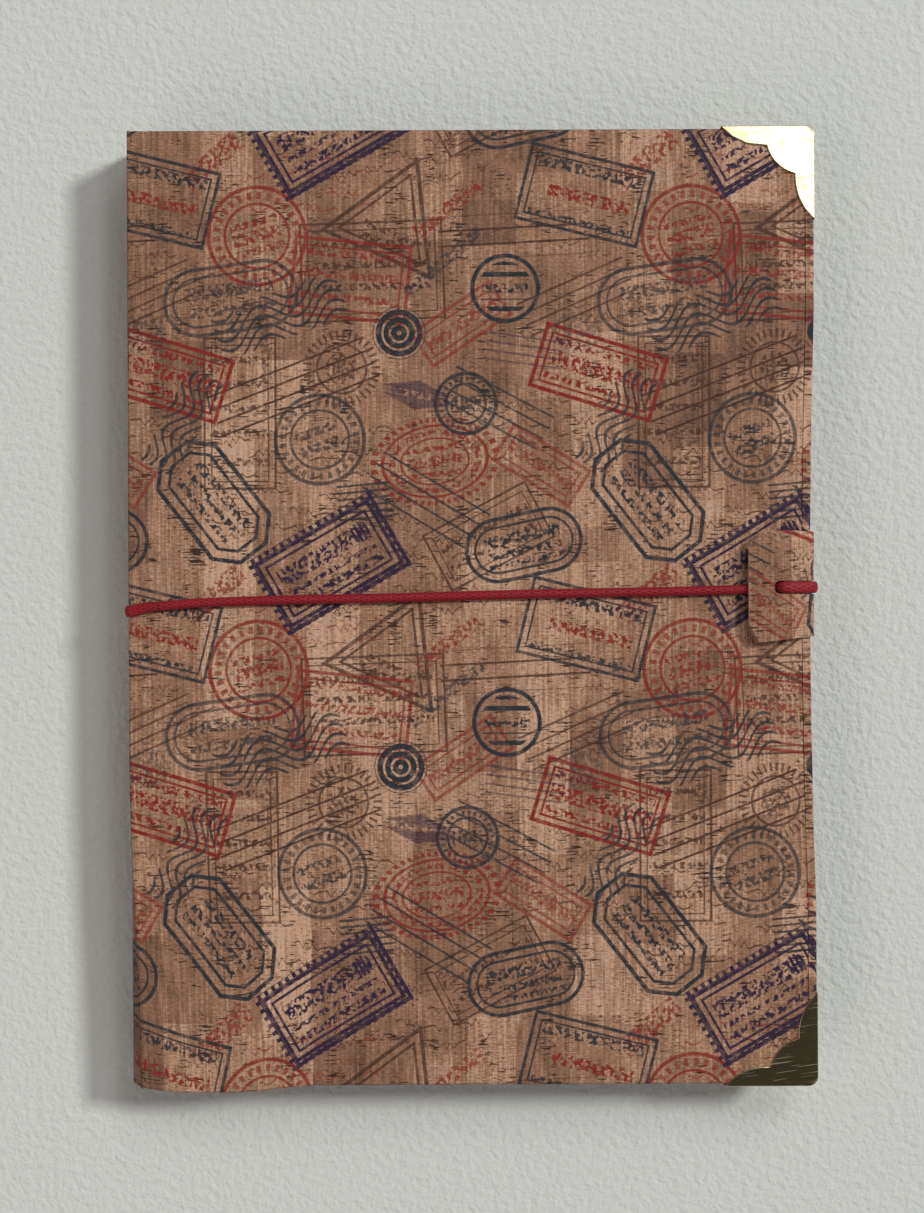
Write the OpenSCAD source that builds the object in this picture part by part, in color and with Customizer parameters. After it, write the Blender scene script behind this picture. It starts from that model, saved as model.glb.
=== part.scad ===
// Stamp album with a cork-fabric case, brass corners, a hook tab and an elastic cord.
// It lies closed on its back cover: +X points from the spine to the fore-edge, +Y to the head, +Z up.
// Everything is in millimetres. The origin is under the middle of the whole object.

/* [Covers] */
// Height of the covers from tail to head
cover_h = 216; // [160:1:320]
// Width from the spine's outer face to the covers' fore-edge
cover_w = 155; // [120:1:240]
// Radius of the covers' two fore-edge corners
corner_r = 1.8; // [1.2:0.1:3]
// Depth that the tab and cord draw the fore-edge in
edge_bow = 1.1; // [0.6:0.1:2]
// Half the length of the fore-edge that is drawn in
edge_bow_half = 66; // [50:1:70]
// Thickness of each cover board
board_t = 2; // [1.5:0.1:3]
// Thickness of the spine board
spine_board_t = 1.5; // [1.2:0.1:2.5]
// Gap between a cover board and the fold of the cork
joint_gap = 0.6; // [0.3:0.1:1.5]
// Gap between the spine board and each cover's inner face
spine_gap = 0.3; // [0.2:0.1:1]

/* [Cork and linings] */
// Thickness of the cork fabric
cork_t = 0.7; // [0.5:0.05:1]
// Thickness of the cork where it is skived and turned in
turnin_t = 0.3; // [0.2:0.05:0.5]
// Width of the cork turned in over each cover board
turnin_w = 14; // [8:1:20]
// Width of the cork turned in at the head and tail of the spine
spine_turnin_w = 8; // [5:1:14]
// Thickness of the paper that lines each cover
paste_t = 0.2; // [0.1:0.05:0.4]
// Margin of cork left showing round the lining paper
paste_margin = 3; // [2:0.5:6]
// Distance from the fold to the lining paper
paste_start = 3; // [2.5:0.5:8]

/* [Metal corners] */
// Length of each leg of a corner along the cover's edge
corner_leg = 20.4; // [16:0.2:26]
// Distance of each notch from the nearer edge
notch_near = 4; // [3:0.2:5]
// Distance of each notch from the farther edge
notch_far = 10.4; // [9:0.2:12]
// Height of the bulge between two notches
lobe_rise = 1.25; // [0.8:0.05:1.8]
// Thickness of the corners' sheet metal
corner_t = 0.5; // [0.4:0.05:0.6]
// Depth that a corner is pressed into the cork
corner_bed = 0.1; // [0.05:0.05:0.2]
// Clearance between a corner and the lining paper
corner_clear = 0.5; // [0.3:0.1:1]

/* [Leaves] */
// Number of stock leaves
leaf_count = 8; // [4:2:12]
// Distance from one leaf to the next
leaf_pitch = 1.4; // [1.3:0.05:2]
// Free space between the outer leaves' places and the covers
end_gap = 0.6; // [0.4:0.1:2]
// Thickness of a leaf's card
card_t = 0.7; // [0.5:0.05:0.75]
// Overhang of the covers past the leaves at head and tail
head_square = 3; // [2.5:0.5:6]
// Overhang of the covers past the leaves at the fore-edge
fore_square = 4.2; // [4:0.1:8]
// Radius of a leaf's fore-edge corners
card_r = 2; // [1:0.5:5]
// Distance from a leaf's hinge line to its card
card_start = 5; // [4.5:0.5:10]
// Thickness of the cloth hinge
hinge_t = 0.2; // [0.15:0.05:0.25]
// Depth that the cloth hinge is laminated into the card
hinge_grip = 3.5; // [2:0.5:8]
// Radius of the rolled fold along the hinge line
fold_r = 0.2; // [0.15:0.01:0.22]

/* [Pocket strips] */
// Number of clear strips on each face of a leaf
strip_rows = 6; // [3:1:8]
// Height of a strip
strip_h = 27; // [15:1:30]
// Thickness of the clear film
film_t = 0.1; // [0.05:0.01:0.12]
// Distance from the card's edges to the strips
strip_margin = 3; // [3:0.5:8]
// Thickness of the glassine interleaf
glassine_t = 0.05; // [0.03:0.01:0.08]
// Width of the interleaf's glued gutter strip
gutter_w = 2; // [1.5:0.5:2.5]

/* [Sewing and headbands] */
// Thickness of the cloth that lines the spine
lining_t = 0.3; // [0.2:0.05:0.4]
// Diameter of the sewing thread
thread_d = 0.3; // [0.2:0.05:0.4]
// Number of sewing stations along the spine
stations = 5; // [3:1:8]
// Width of the gap that each station leaves in a hinge
station_w = 1.6; // [1.2:0.1:3]
// Depth of that gap from the hinge line
station_depth = 1.3; // [1.2:0.1:2]
// Diameter of the headbands
headband_d = 1.8; // [1.2:0.1:2.2]

/* [Elastic cord] */
// Diameter of the elastic cord
cord_d = 2.1; // [1.6:0.1:2.4]
// Height of the cord where it is drawn flat over an edge
cord_flat_h = 1.35; // [1.2:0.05:1.6]
// Width of the cord there
cord_flat_w = 2.6; // [2.3:0.1:2.8]
// Depth that the cord bites into the cork there
cord_bite = 0.5; // [0.3:0.05:0.6]
// Distance of the cord's spine hole above the middle of the spine
cord_y_spine = -0.6; // [-4:0.1:4]
// Distance of the cord above the covers' middle where it crosses the tab
cord_y_tab = 4.2; // [2:0.1:7]
// Radial clearance round the cord in the spine
cord_clear = 0.2; // [0.1:0.05:0.4]
// Gap between the cord and what it lies on
lie_gap = 0.05; // [0.03:0.01:0.1]
// Width of the groove that the cord presses in
groove_w = 3; // [2.8:0.1:3.4]
// Length of the metal bar crimped on each end of the cord
bar_l = 12; // [8:0.5:16]
// Width of that bar
bar_w = 2.4; // [2:0.1:3]
// Thickness of that bar
bar_t = 0.9; // [0.6:0.05:1]
// Clearance round the bar in the spine board's pocket
bar_clear = 0.1; // [0.05:0.05:0.3]

/* [Hook tab] */
// Thickness of the doubled cork of the tab
tab_t = 0.9; // [0.8:0.05:1.2]
// Length of the flap on the front cover
flap_l = 15.2; // [15:0.1:20]
// Width of the tab at the fore-edge
tab_w = 23.7; // [20:0.1:30]
// How much the flap spreads past that width on its tail side
flare_tail = 1.3; // [0:0.1:3]
// How much it spreads on its head side
flare_head = 0.3; // [0:0.1:3]
// Distance of the tab's middle above the covers' middle
tab_y = 4.95; // [2:0.05:8]
// Length of the free end's chamfers across the tab
chamfer_w = 3.4; // [1:0.1:4]
// Length of the tail-side chamfer along the tab
chamfer_tail = 2; // [1:0.1:4]
// Length of the head-side chamfer along the tab
chamfer_head = 4; // [1:0.1:4]
// Gap between the tab and the covers' edges
tab_gap = 0.1; // [0.05:0.05:0.3]
// Distance from the fore-edge to the hole in the flap
flap_hole_x = 8; // [7.5:0.1:8.5]
// Diameter of the two holes in the tab
tab_hole_d = 3; // [2.8:0.1:3.4]
// Length of the lip under the back cover
lip_l = 5; // [3:0.5:9]
// Thickness of the lip, a single ply of cork
lip_t = 0.6; // [0.4:0.05:0.7]
// Depth of the relief pressed into the back cover for the lip
relief_t = 0.2; // [0.15:0.05:0.3]
// Side clearance of the lip in its relief
relief_clear = 0.6; // [0.6:0.1:1]

/* [Hidden] */
$fn = 64;
cut = 1;
fine_gap = 0.05;

// stack, from the ground up
back_z = max(corner_t - corner_bed, lip_t - relief_t);
skin_h = cork_t + board_t + turnin_t;
cover_t = skin_h + paste_t;
block_t = leaf_count * leaf_pitch + 2 * end_gap;
front_z = back_z + 2 * cover_t + block_t;
mid_z = (back_z + front_z) / 2;
half_h = cover_h / 2;

// width: the cord stands out past the spine, and the tab and cord past the fore-edge
cord_r = cord_d / 2;
lie = cord_r + lie_gap;
flat_lie = cord_flat_h / 2 + lie_gap;
spine_reach = cord_flat_h + lie_gap - cord_bite;
fore_reach = tab_gap + tab_t + spine_reach - edge_bow;
spine_x = spine_reach - (spine_reach + cover_w + fore_reach) / 2;
fore_x = spine_x + cover_w;
fold_x = spine_x + cork_t;
board_x = fold_x + joint_gap;
inner_x = fold_x + spine_board_t;
lining_x = inner_x + max(lining_t, turnin_t);
fold_zs = [back_z + cork_t, front_z - cork_t];
edge_bow_r = (edge_bow_half * edge_bow_half + edge_bow * edge_bow) / (2 * edge_bow);
edge_x = fore_x - edge_bow;

// spine board
spine_z0 = back_z + cover_t + spine_gap;
spine_h = front_z - back_z - 2 * (cover_t + spine_gap);
cord_hole_d = cord_d + 2 * cord_clear;
bar_seat_x = inner_x - bar_t - bar_clear;

// metal corners
corner_proud = corner_t - corner_bed;
corner_z = back_z - corner_proud;
cap_h = skin_h + 2 * corner_proud;
notch_1 = [notch_far, notch_near];
notch_2 = [notch_near, notch_far];

// leaves
leaf_half_h = half_h - head_square;
foot_x = lining_x + fold_r + fine_gap;
card_x = foot_x + card_start;
leaf_x = fore_x - fore_square;
row_pitch = 2 * leaf_half_h / strip_rows;
station_pitch = 2 * leaf_half_h / (stations + 1);
strip_x0 = card_x + strip_margin;
strip_x1 = leaf_x - strip_margin;
function leaf_z(k) = mid_z + ((leaf_count + 1) / 2 - k) * leaf_pitch;
function station_y(n) = -leaf_half_h + (n + 1) * station_pitch;

// hook tab
flap_z = front_z + cord_d + lie_gap + 0.1;
web_x = edge_x + tab_gap;
rest_z = front_z + fine_gap;
flap_top = flap_z + tab_t;
hole_x = fore_x - flap_hole_x;
drop_x = hole_x + tab_hole_d / 2 + 0.2;
land_x = edge_x - 1;
lip_z = back_z + relief_t - lip_t;
flap_x = fore_x - flap_l;

// The elastic cord's route, from the bar in the spine to the bar in the tab. The fourth number of each point
// says how flat the cord is drawn there, from 0 to 1.
spine_floor_r = cork_t - cord_bite;
tab_floor_r = tab_t - cord_bite;
spine_lie_x = fold_x - spine_floor_r - flat_lie;
web_lie_x = web_x + tab_floor_r + flat_lie;
slope_x = drop_x + 0.4;
over_flap_z = flap_top - cord_bite + flat_lie;
// The cord turns sharply at its holes, half flattened and with a small radius left inside the bend.
turn_flat = 0.6;
turn_r = (cord_d + (cord_flat_h - cord_d) * turn_flat) / 2 + 0.1;
// Points of the cord on an arc about (x, z), from one angle to another.
function turn(x, y, z, r, a0, a1, n, flat) = [for (p = arc([x, z], r, a0, a1, n)) [p[0], y, p[1], flat]];
cord_route = concat([
    [bar_seat_x, cord_y_spine, mid_z, turn_flat],
], turn(spine_lie_x + turn_r, cord_y_spine, mid_z + turn_r, turn_r, 270, 180, 3, turn_flat), [
    [spine_lie_x, cord_y_spine, mid_z + turn_r + 0.4, 0.9],
    [spine_lie_x, cord_y_spine, mid_z + 2.5, 1],
    [spine_lie_x, cord_y_spine, front_z - 2, 1],
], turn(fold_x, cord_y_spine, front_z - cork_t, spine_floor_r + flat_lie, 180, 90, 4, 1), [
    [spine_x + 2, cord_y_spine + 0.3, front_z + 0.45, 0.9],
    [spine_x + 4, cord_y_spine + 0.8, front_z + 0.75, 0.5],
    [spine_x + 7, cord_y_spine + 1.1, front_z + lie, 0.1],
    [spine_x + 16, cord_y_spine + 1.8, front_z + lie, 0],
    [spine_x + 30, cord_y_spine + 2.3, front_z + lie, 0],
    [spine_x + 60, cord_y_spine + 2.8, front_z + lie, 0],
    [spine_x + 90, cord_y_tab - 1.3, front_z + lie, 0],
    [fore_x - 30, cord_y_tab - 0.8, front_z + lie, 0],
    [fore_x - 16, cord_y_tab - 0.4, front_z + lie, 0],
    [hole_x - 2.5, cord_y_tab, front_z + lie, 0.2],
], turn(hole_x - turn_r, cord_y_tab, front_z + lie + turn_r, turn_r, 270, 360, 3, turn_flat),
    turn(hole_x + turn_r, cord_y_tab, over_flap_z - turn_r, turn_r, 180, 90, 3, turn_flat), [
    [hole_x + tab_hole_d / 2, cord_y_tab, over_flap_z, 1],
    [slope_x, cord_y_tab, over_flap_z, 1],
], turn(web_x, cord_y_tab, rest_z, tab_floor_r + flat_lie, 65, 0, 3, 1), [
    [web_lie_x, cord_y_tab, mid_z + 2.5, 1],
    [web_lie_x, cord_y_tab, mid_z + turn_r + 0.4, 0.9],
], turn(web_lie_x - turn_r, cord_y_tab, mid_z + turn_r, turn_r, 0, -90, 3, turn_flat), [
    [web_x, cord_y_tab, mid_z, turn_flat],
]);
cord_sides = 8;

LEAVES = [for (k = [1 : leaf_count]) k];
CASE = ["back_board", "back_cork", "back_infill", "back_pastedown", "back_corner_head", "back_corner_tail",
    "front_board", "front_cork", "front_infill", "front_pastedown", "front_corner_head", "front_corner_tail"];
SPINE = ["spine_board", "spine_cork", "spine_lining", "back_fold_cork", "front_fold_cork",
    "headband_head", "headband_tail", "sewing_thread", "spine_anchor"];
CLOSURE = ["pull_tab", "elastic_cord", "tab_anchor"];
LEAF_PIECES = ["card", "hinge", "strips", "interleaf"];

// ---- shared shapes ----

// A sheet from x0 to x1 that is 2 * half high, with its two fore-edge corners rounded.
module sheet(x0, x1, half, r) {
    translate([x0, -half]) square([x1 - x0 - r, 2 * half]);
    translate([x0, r - half]) square([x1 - x0, 2 * (half - r)]);
    for (side = [-1, 1]) translate([x1 - r, side * (half - r)]) circle(r);
}

// A cover's outline, drawn in at the fore-edge, with all but its spine side moved in by inset.
module cover_sheet(x0, inset) {
    difference() {
        sheet(x0, fore_x - inset, half_h - inset, corner_r - inset);
        translate([edge_x + edge_bow_r, 0]) circle(edge_bow_r + inset, $fn = 1440);
    }
}

// A layer of a cover, from height z, drawn on the back cover.
module layer(z, t) {
    translate([0, 0, z]) linear_extrude(t) children();
}

// Draws a back piece in place, or turned over as the front one.
module on_cover(front) {
    translate([0, 0, front ? 2 * mid_z : 0]) mirror([0, 0, front ? 1 : 0]) children();
}

// Draws a head piece in place, or turned end for end as the tail one.
module at_end(tail) {
    mirror([0, tail ? 1 : 0, 0]) children();
}

// The circle that bulges by rise past the chord from p to q.
module lobe(p, q, rise, grow) {
    chord = q - p;
    len = norm(chord);
    r = (len * len / 4 + rise * rise) / (2 * rise);
    out = [-chord[1], chord[0]] / len;
    translate((p + q) / 2 + out * (rise - r)) circle(r + grow);
}

// Plan of a metal corner past the cover's edges, with grow added to its lobes. It is clipped by its user.
// The polygon keeps inside the three lobes, so that they alone shape the edge.
module corner_plan(grow = 0) {
    past = 2;
    inside = 0.4;
    ends = [[corner_leg, 0], notch_1, notch_2, [0, corner_leg]];
    leg = corner_leg - inside;
    translate([fore_x, half_h]) mirror([1, 0]) mirror([0, 1]) {
        polygon([[-past, -past], [leg, -past], [leg, -inside], notch_1 - [inside, inside],
            notch_2 - [inside, inside], [-inside, leg], [-past, leg]]);
        for (n = [0 : 2]) lobe(ends[n + 1], ends[n], lobe_rise, grow);
    }
}

// A rounded bar along Y with its flat side facing X.
module crimp_bar(x, y, clear) {
    w = bar_w + 2 * clear;
    straight = bar_l - bar_w;
    translate([x, y, mid_z]) rotate([0, 90, 0]) linear_extrude(bar_t + clear) {
        square([w, straight], center = true);
        for (side = [-1, 1]) translate([0, side * straight / 2]) circle(d = w);
    }
}

// A side view in X and Z, made w wide along Y about y.
module slab(y, w) {
    translate([0, y + w / 2, 0]) rotate([90, 0, 0]) linear_extrude(w) children();
}

function arc(c, r, a0, a1, n) = [for (i = [0 : n]) let (a = a0 + (a1 - a0) * i / n) c + r * [cos(a), sin(a)]];

// ---- covers ----

module corner_cap() {
    difference() {
        layer(corner_z, cap_h) intersection() {
            sheet(mid_x(), fore_x + corner_proud, half_h + corner_proud, corner_r + corner_proud);
            corner_plan();
        }
        layer(corner_z + corner_t, cap_h - 2 * corner_t)
            sheet(mid_x(), fore_x - corner_bed, half_h - corner_bed, corner_r - corner_bed);
    }
}
function mid_x() = (spine_x + fore_x) / 2;

module cover_cork() {
    difference() {
        layer(back_z, skin_h) cover_sheet(fold_x, 0);
        layer(back_z + cork_t, board_t) cover_sheet(fold_x - cut, cork_t);
        layer(back_z + cork_t + board_t, turnin_t + cut)
            translate([fold_x - cut, turnin_w - half_h])
                square([cover_w - cork_t - turnin_w + cut, 2 * (half_h - turnin_w)]);
        for (tail = [false, true]) at_end(tail) corner_cap();
    }
}

module cover_board() {
    layer(back_z + cork_t, board_t) cover_sheet(board_x, cork_t);
}

module cover_infill() {
    layer(back_z + cork_t + board_t, turnin_t)
        translate([board_x, turnin_w - half_h])
            square([fore_x - turnin_w - board_x, 2 * (half_h - turnin_w)]);
}

module cover_pastedown() {
    layer(back_z + skin_h, paste_t) difference() {
        sheet(fold_x + paste_start, fore_x - paste_margin, half_h - paste_margin, corner_r);
        for (tail = [0, 1]) mirror([0, tail]) corner_plan(corner_clear);
    }
}

module tab_relief() {
    layer(back_z - cut, relief_t + cut)
        translate([web_x - lip_l - relief_clear, tab_y - tab_w / 2 - relief_clear])
            square([lip_l + relief_clear + cut, tab_w + 2 * relief_clear]);
}

module back_cork() {
    color("rosybrown") difference() {
        cover_cork();
        tab_relief();
    }
}
module front_cork() {
    color("rosybrown") difference() {
        on_cover(true) cover_cork();
        spine_groove();
    }
}
module back_board() { color("darkgray") cover_board(); }
module front_board() { color("darkgray") on_cover(true) cover_board(); }
module back_infill() { color("lightgray") cover_infill(); }
module front_infill() { color("lightgray") on_cover(true) cover_infill(); }
module back_pastedown() { color("ivory") cover_pastedown(); }
module front_pastedown() { color("ivory") on_cover(true) cover_pastedown(); }
module metal_corner(front, tail) { color("darkgoldenrod") on_cover(front) at_end(tail) corner_cap(); }

// ---- spine ----

module cord_hole() {
    translate([spine_x - cut, cord_y_spine, mid_z]) rotate([0, 90, 0])
        cylinder(d = cord_hole_d, h = cork_t + spine_board_t + cut);
}

// The groove that the cord presses into the cork, up the spine and over its front edge.
module spine_groove() {
    past = 3;
    slab(cord_y_spine, groove_w) polygon(concat(
        [[spine_x - past, mid_z], [spine_x + cord_bite, mid_z]],
        arc([fold_x, front_z - cork_t], spine_floor_r, 180, 90, 6),
        [[fold_x + 6, front_z], [fold_x + 6, front_z + past], [spine_x - past, front_z + past]]
    ));
}

module spine_cork() {
    color("rosybrown") difference() {
        union() {
            translate([spine_x, -half_h, fold_zs[0]]) cube([cork_t, cover_h, fold_zs[1] - fold_zs[0]]);
            for (tail = [false, true]) at_end(tail) {
                translate([spine_x, half_h - cork_t, spine_z0])
                    cube([inner_x + turnin_t - spine_x, cork_t, spine_h]);
                translate([inner_x, half_h - spine_turnin_w, spine_z0]) cube([turnin_t, spine_turnin_w, spine_h]);
            }
        }
        cord_hole();
        spine_groove();
    }
}

module spine_board() {
    color("darkgray") difference() {
        translate([fold_x, cork_t - half_h, spine_z0]) cube([spine_board_t, cover_h - 2 * cork_t, spine_h]);
        cord_hole();
        crimp_bar(bar_seat_x, cord_y_spine, bar_clear);
    }
}

module spine_lining() {
    inset = spine_turnin_w - half_h;
    color("linen") translate([inner_x, inset, spine_z0]) cube([lining_t, -2 * inset, spine_h]);
}

// The cork's quarter-round fold along one hinge line.
module fold_cork(front) {
    color("rosybrown") difference() {
        on_cover(front) intersection() {
            translate([fold_x, half_h, fold_zs[0]]) rotate([90, 0, 0]) cylinder(r = cork_t, h = cover_h);
            translate([spine_x, -half_h, back_z]) cube([cork_t, cover_h, cork_t]);
        }
        spine_groove();
    }
}

module headband(tail) {
    color("firebrick") at_end(tail)
        translate([lining_x + headband_d / 2, leaf_half_h + fine_gap + headband_d / 2, spine_z0])
            cylinder(d = headband_d, h = spine_h);
}

module sewing_thread() {
    z0 = leaf_z(leaf_count);
    color("white") for (n = [0 : stations - 1])
        translate([lining_x + thread_d / 2, station_y(n), z0]) cylinder(d = thread_d, h = leaf_z(1) - z0);
}

module spine_anchor() { color("silver") crimp_bar(bar_seat_x, cord_y_spine, 0); }

// ---- leaves ----

module leaf_card(k) {
    color("dimgray") translate([0, 0, leaf_z(k)]) difference() {
        translate([0, 0, -card_t / 2]) linear_extrude(card_t) sheet(card_x, leaf_x, leaf_half_h, card_r);
        translate([card_x - cut, -half_h, -hinge_t / 2]) cube([hinge_grip + cut, cover_h, hinge_t]);
    }
}

module leaf_hinge(k) {
    color("gray") translate([0, 0, leaf_z(k)]) difference() {
        union() {
            translate([foot_x, -leaf_half_h, -hinge_t / 2])
                cube([card_start + hinge_grip, 2 * leaf_half_h, hinge_t]);
            translate([foot_x, leaf_half_h, 0]) rotate([90, 0, 0]) cylinder(r = fold_r, h = 2 * leaf_half_h);
        }
        for (n = [0 : stations - 1])
            translate([foot_x - cut, station_y(n) - station_w / 2, -cut])
                cube([station_depth + cut, station_w, 2 * cut]);
    }
}

module leaf_strips(k) {
    color("lightblue") translate([0, 0, leaf_z(k)])
        for (row = [0 : strip_rows - 1], z = [-card_t / 2 - film_t, card_t / 2])
            translate([strip_x0, -leaf_half_h + row * row_pitch + strip_margin, z])
                cube([strip_x1 - strip_x0, min(strip_h, row_pitch - strip_margin), film_t]);
}

module leaf_interleaf(k) {
    sheet_z = leaf_z(k) + card_t / 2 + film_t + fine_gap;
    color("whitesmoke") {
        translate([card_x, 0, sheet_z]) linear_extrude(glassine_t)
            sheet(0, leaf_x - card_x - 1, leaf_half_h - 1, card_r);
        translate([card_x, 1 - leaf_half_h, leaf_z(k) + card_t / 2])
            cube([gutter_w, 2 * (leaf_half_h - 1), film_t + fine_gap]);
    }
}

// ---- closure ----

// Side view of the folded tab: flap, web round the fore-edge and lip under the back cover.
module tab_profile() {
    polygon(concat(
        [[flap_x, flap_z], [drop_x, flap_z], [land_x, rest_z], [web_x, rest_z]],
        [[web_x, lip_z + lip_t], [web_x - lip_l, lip_z + lip_t], [web_x - lip_l, lip_z]],
        arc([web_x, lip_z + tab_t], tab_t, -90, 0, 6),
        arc([web_x, rest_z], tab_t, 0, 65, 6),
        [[slope_x, flap_top], [flap_x, flap_top]]
    ));
}

// The groove that the cord presses into the tab, from the hole in its flap to the hole in its web.
module tab_groove() {
    past = 3;
    slab(cord_y_tab, groove_w) polygon(concat(
        [[hole_x, flap_top + past], [hole_x, flap_top - cord_bite], [slope_x, flap_top - cord_bite]],
        arc([web_x, rest_z], tab_floor_r, 65, 0, 6),
        [[web_x + tab_floor_r, mid_z], [web_x + tab_t + past, mid_z], [web_x + tab_t + past, flap_top + past]]
    ));
}

// Plan of the tab, about its middle. It spreads and is chamfered at its free end.
module tab_plan() {
    half = tab_w / 2;
    tail = -half - flare_tail;
    head = half + flare_head;
    past = 2 * tab_t;
    polygon([
        [flap_x, tail + chamfer_w], [flap_x + chamfer_tail, tail], [edge_x, -half], [fore_x + past, -half],
        [fore_x + past, half], [edge_x, half], [flap_x + chamfer_head, head], [flap_x, head - chamfer_w]
    ]);
}

module pull_tab() {
    color("rosybrown") difference() {
        intersection() {
            slab(0, cover_h) tab_profile();
            translate([0, tab_y, lip_z - cut]) linear_extrude(flap_top + 2 * cut) tab_plan();
        }
        tab_groove();
        translate([hole_x, cord_y_tab, front_z]) cylinder(d = tab_hole_d, h = flap_top);
        translate([web_x - cut, cord_y_tab, mid_z]) rotate([0, 90, 0]) cylinder(d = tab_hole_d, h = 2 * tab_t + cut);
    }
}

module tab_anchor() { color("silver") crimp_bar(web_x - bar_t, cord_y_tab, 0); }

// Sweeps the cord's section along a route. Each ring lies in the plane that halves the bend.
module cord(route, sides) {
    last = len(route) - 1;
    function at(i) = let (p = route[i]) [p[0], p[1], p[2]];
    function between(a, b, share) = a + (b - a) * share;
    function unit(v) = v / norm(v);
    function ahead(i) = unit(at(min(i + 1, last)) - at(max(i - 1, 0)));
    function up(i) = unit(cross([0, 1, 0], ahead(i))) * between(cord_d, cord_flat_h, route[i][3]) / 2;
    function side(i) = unit(cross(ahead(i), up(i))) * between(cord_d, cord_flat_w, route[i][3]) / 2;
    function ring(i) = [for (n = [0 : sides - 1]) let (a = 360 * n / sides) at(i) + cos(a) * up(i) + sin(a) * side(i)];
    points = [for (i = [0 : last]) each ring(i)];
    walls = [for (i = [0 : last - 1], n = [0 : sides - 1]) let (m = (n + 1) % sides, a = i * sides, b = a + sides)
        each [[a + n, b + n, b + m], [a + n, b + m, a + m]]];
    ends = [[for (n = [0 : sides - 1]) n], [for (n = [sides - 1 : -1 : 0]) last * sides + n]];
    polyhedron(points = points, faces = concat(walls, ends));
}

module elastic_cord() { color("brown") cord(cord_route, cord_sides); }

// ---- the parts ----

back_board();
back_cork();
back_infill();
back_pastedown();
metal_corner(false, false);  // back_corner_head
metal_corner(false, true);  // back_corner_tail
front_board();
front_cork();
front_infill();
front_pastedown();
metal_corner(true, false);  // front_corner_head
metal_corner(true, true);  // front_corner_tail
spine_board();
spine_cork();
spine_lining();
fold_cork(false);  // back_fold_cork
fold_cork(true);  // front_fold_cork
headband(false);  // headband_head
headband(true);  // headband_tail
sewing_thread();
spine_anchor();
pull_tab();
elastic_cord();
tab_anchor();
for (k = LEAVES) {
    leaf_card(k);
    leaf_hinge(k);
    leaf_strips(k);
    leaf_interleaf(k);
}
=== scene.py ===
import bpy
import math
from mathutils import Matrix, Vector


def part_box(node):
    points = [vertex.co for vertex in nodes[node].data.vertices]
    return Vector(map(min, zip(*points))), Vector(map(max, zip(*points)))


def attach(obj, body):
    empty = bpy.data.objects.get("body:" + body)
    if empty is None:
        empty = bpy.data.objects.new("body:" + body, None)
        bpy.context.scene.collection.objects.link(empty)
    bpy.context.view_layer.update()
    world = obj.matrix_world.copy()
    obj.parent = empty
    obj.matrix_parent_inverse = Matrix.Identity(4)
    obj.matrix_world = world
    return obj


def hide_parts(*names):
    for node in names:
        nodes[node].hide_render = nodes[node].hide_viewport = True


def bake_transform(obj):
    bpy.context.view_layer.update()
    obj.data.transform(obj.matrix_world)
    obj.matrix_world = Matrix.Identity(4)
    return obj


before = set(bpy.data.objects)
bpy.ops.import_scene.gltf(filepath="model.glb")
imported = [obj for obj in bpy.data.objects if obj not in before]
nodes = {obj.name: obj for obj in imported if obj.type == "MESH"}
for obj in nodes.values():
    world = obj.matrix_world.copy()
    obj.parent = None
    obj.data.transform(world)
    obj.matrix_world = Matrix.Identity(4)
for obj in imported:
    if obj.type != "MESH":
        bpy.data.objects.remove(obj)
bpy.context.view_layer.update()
mm = 0.001

# edges of the album's main forms, in mm, read from the CAD nodes
caseLow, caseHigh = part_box("front_cork")
backLow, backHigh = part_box("back_cork")
spineLow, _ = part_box("spine_cork")
album = {
    "spine": spineLow[0] / mm, "fold": caseLow[0] / mm, "fore": caseHigh[0] / mm,
    "half": caseHigh[1] / mm,
    "top": caseHigh[2] / mm, "underTop": caseLow[2] / mm,
    "bottom": backLow[2] / mm, "overBottom": backHigh[2] / mm,
}
print("album edges in mm", {name: round(value, 2) for name, value in album.items()})


printEdge = 0.16          # softness of a printed edge, mm


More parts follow.
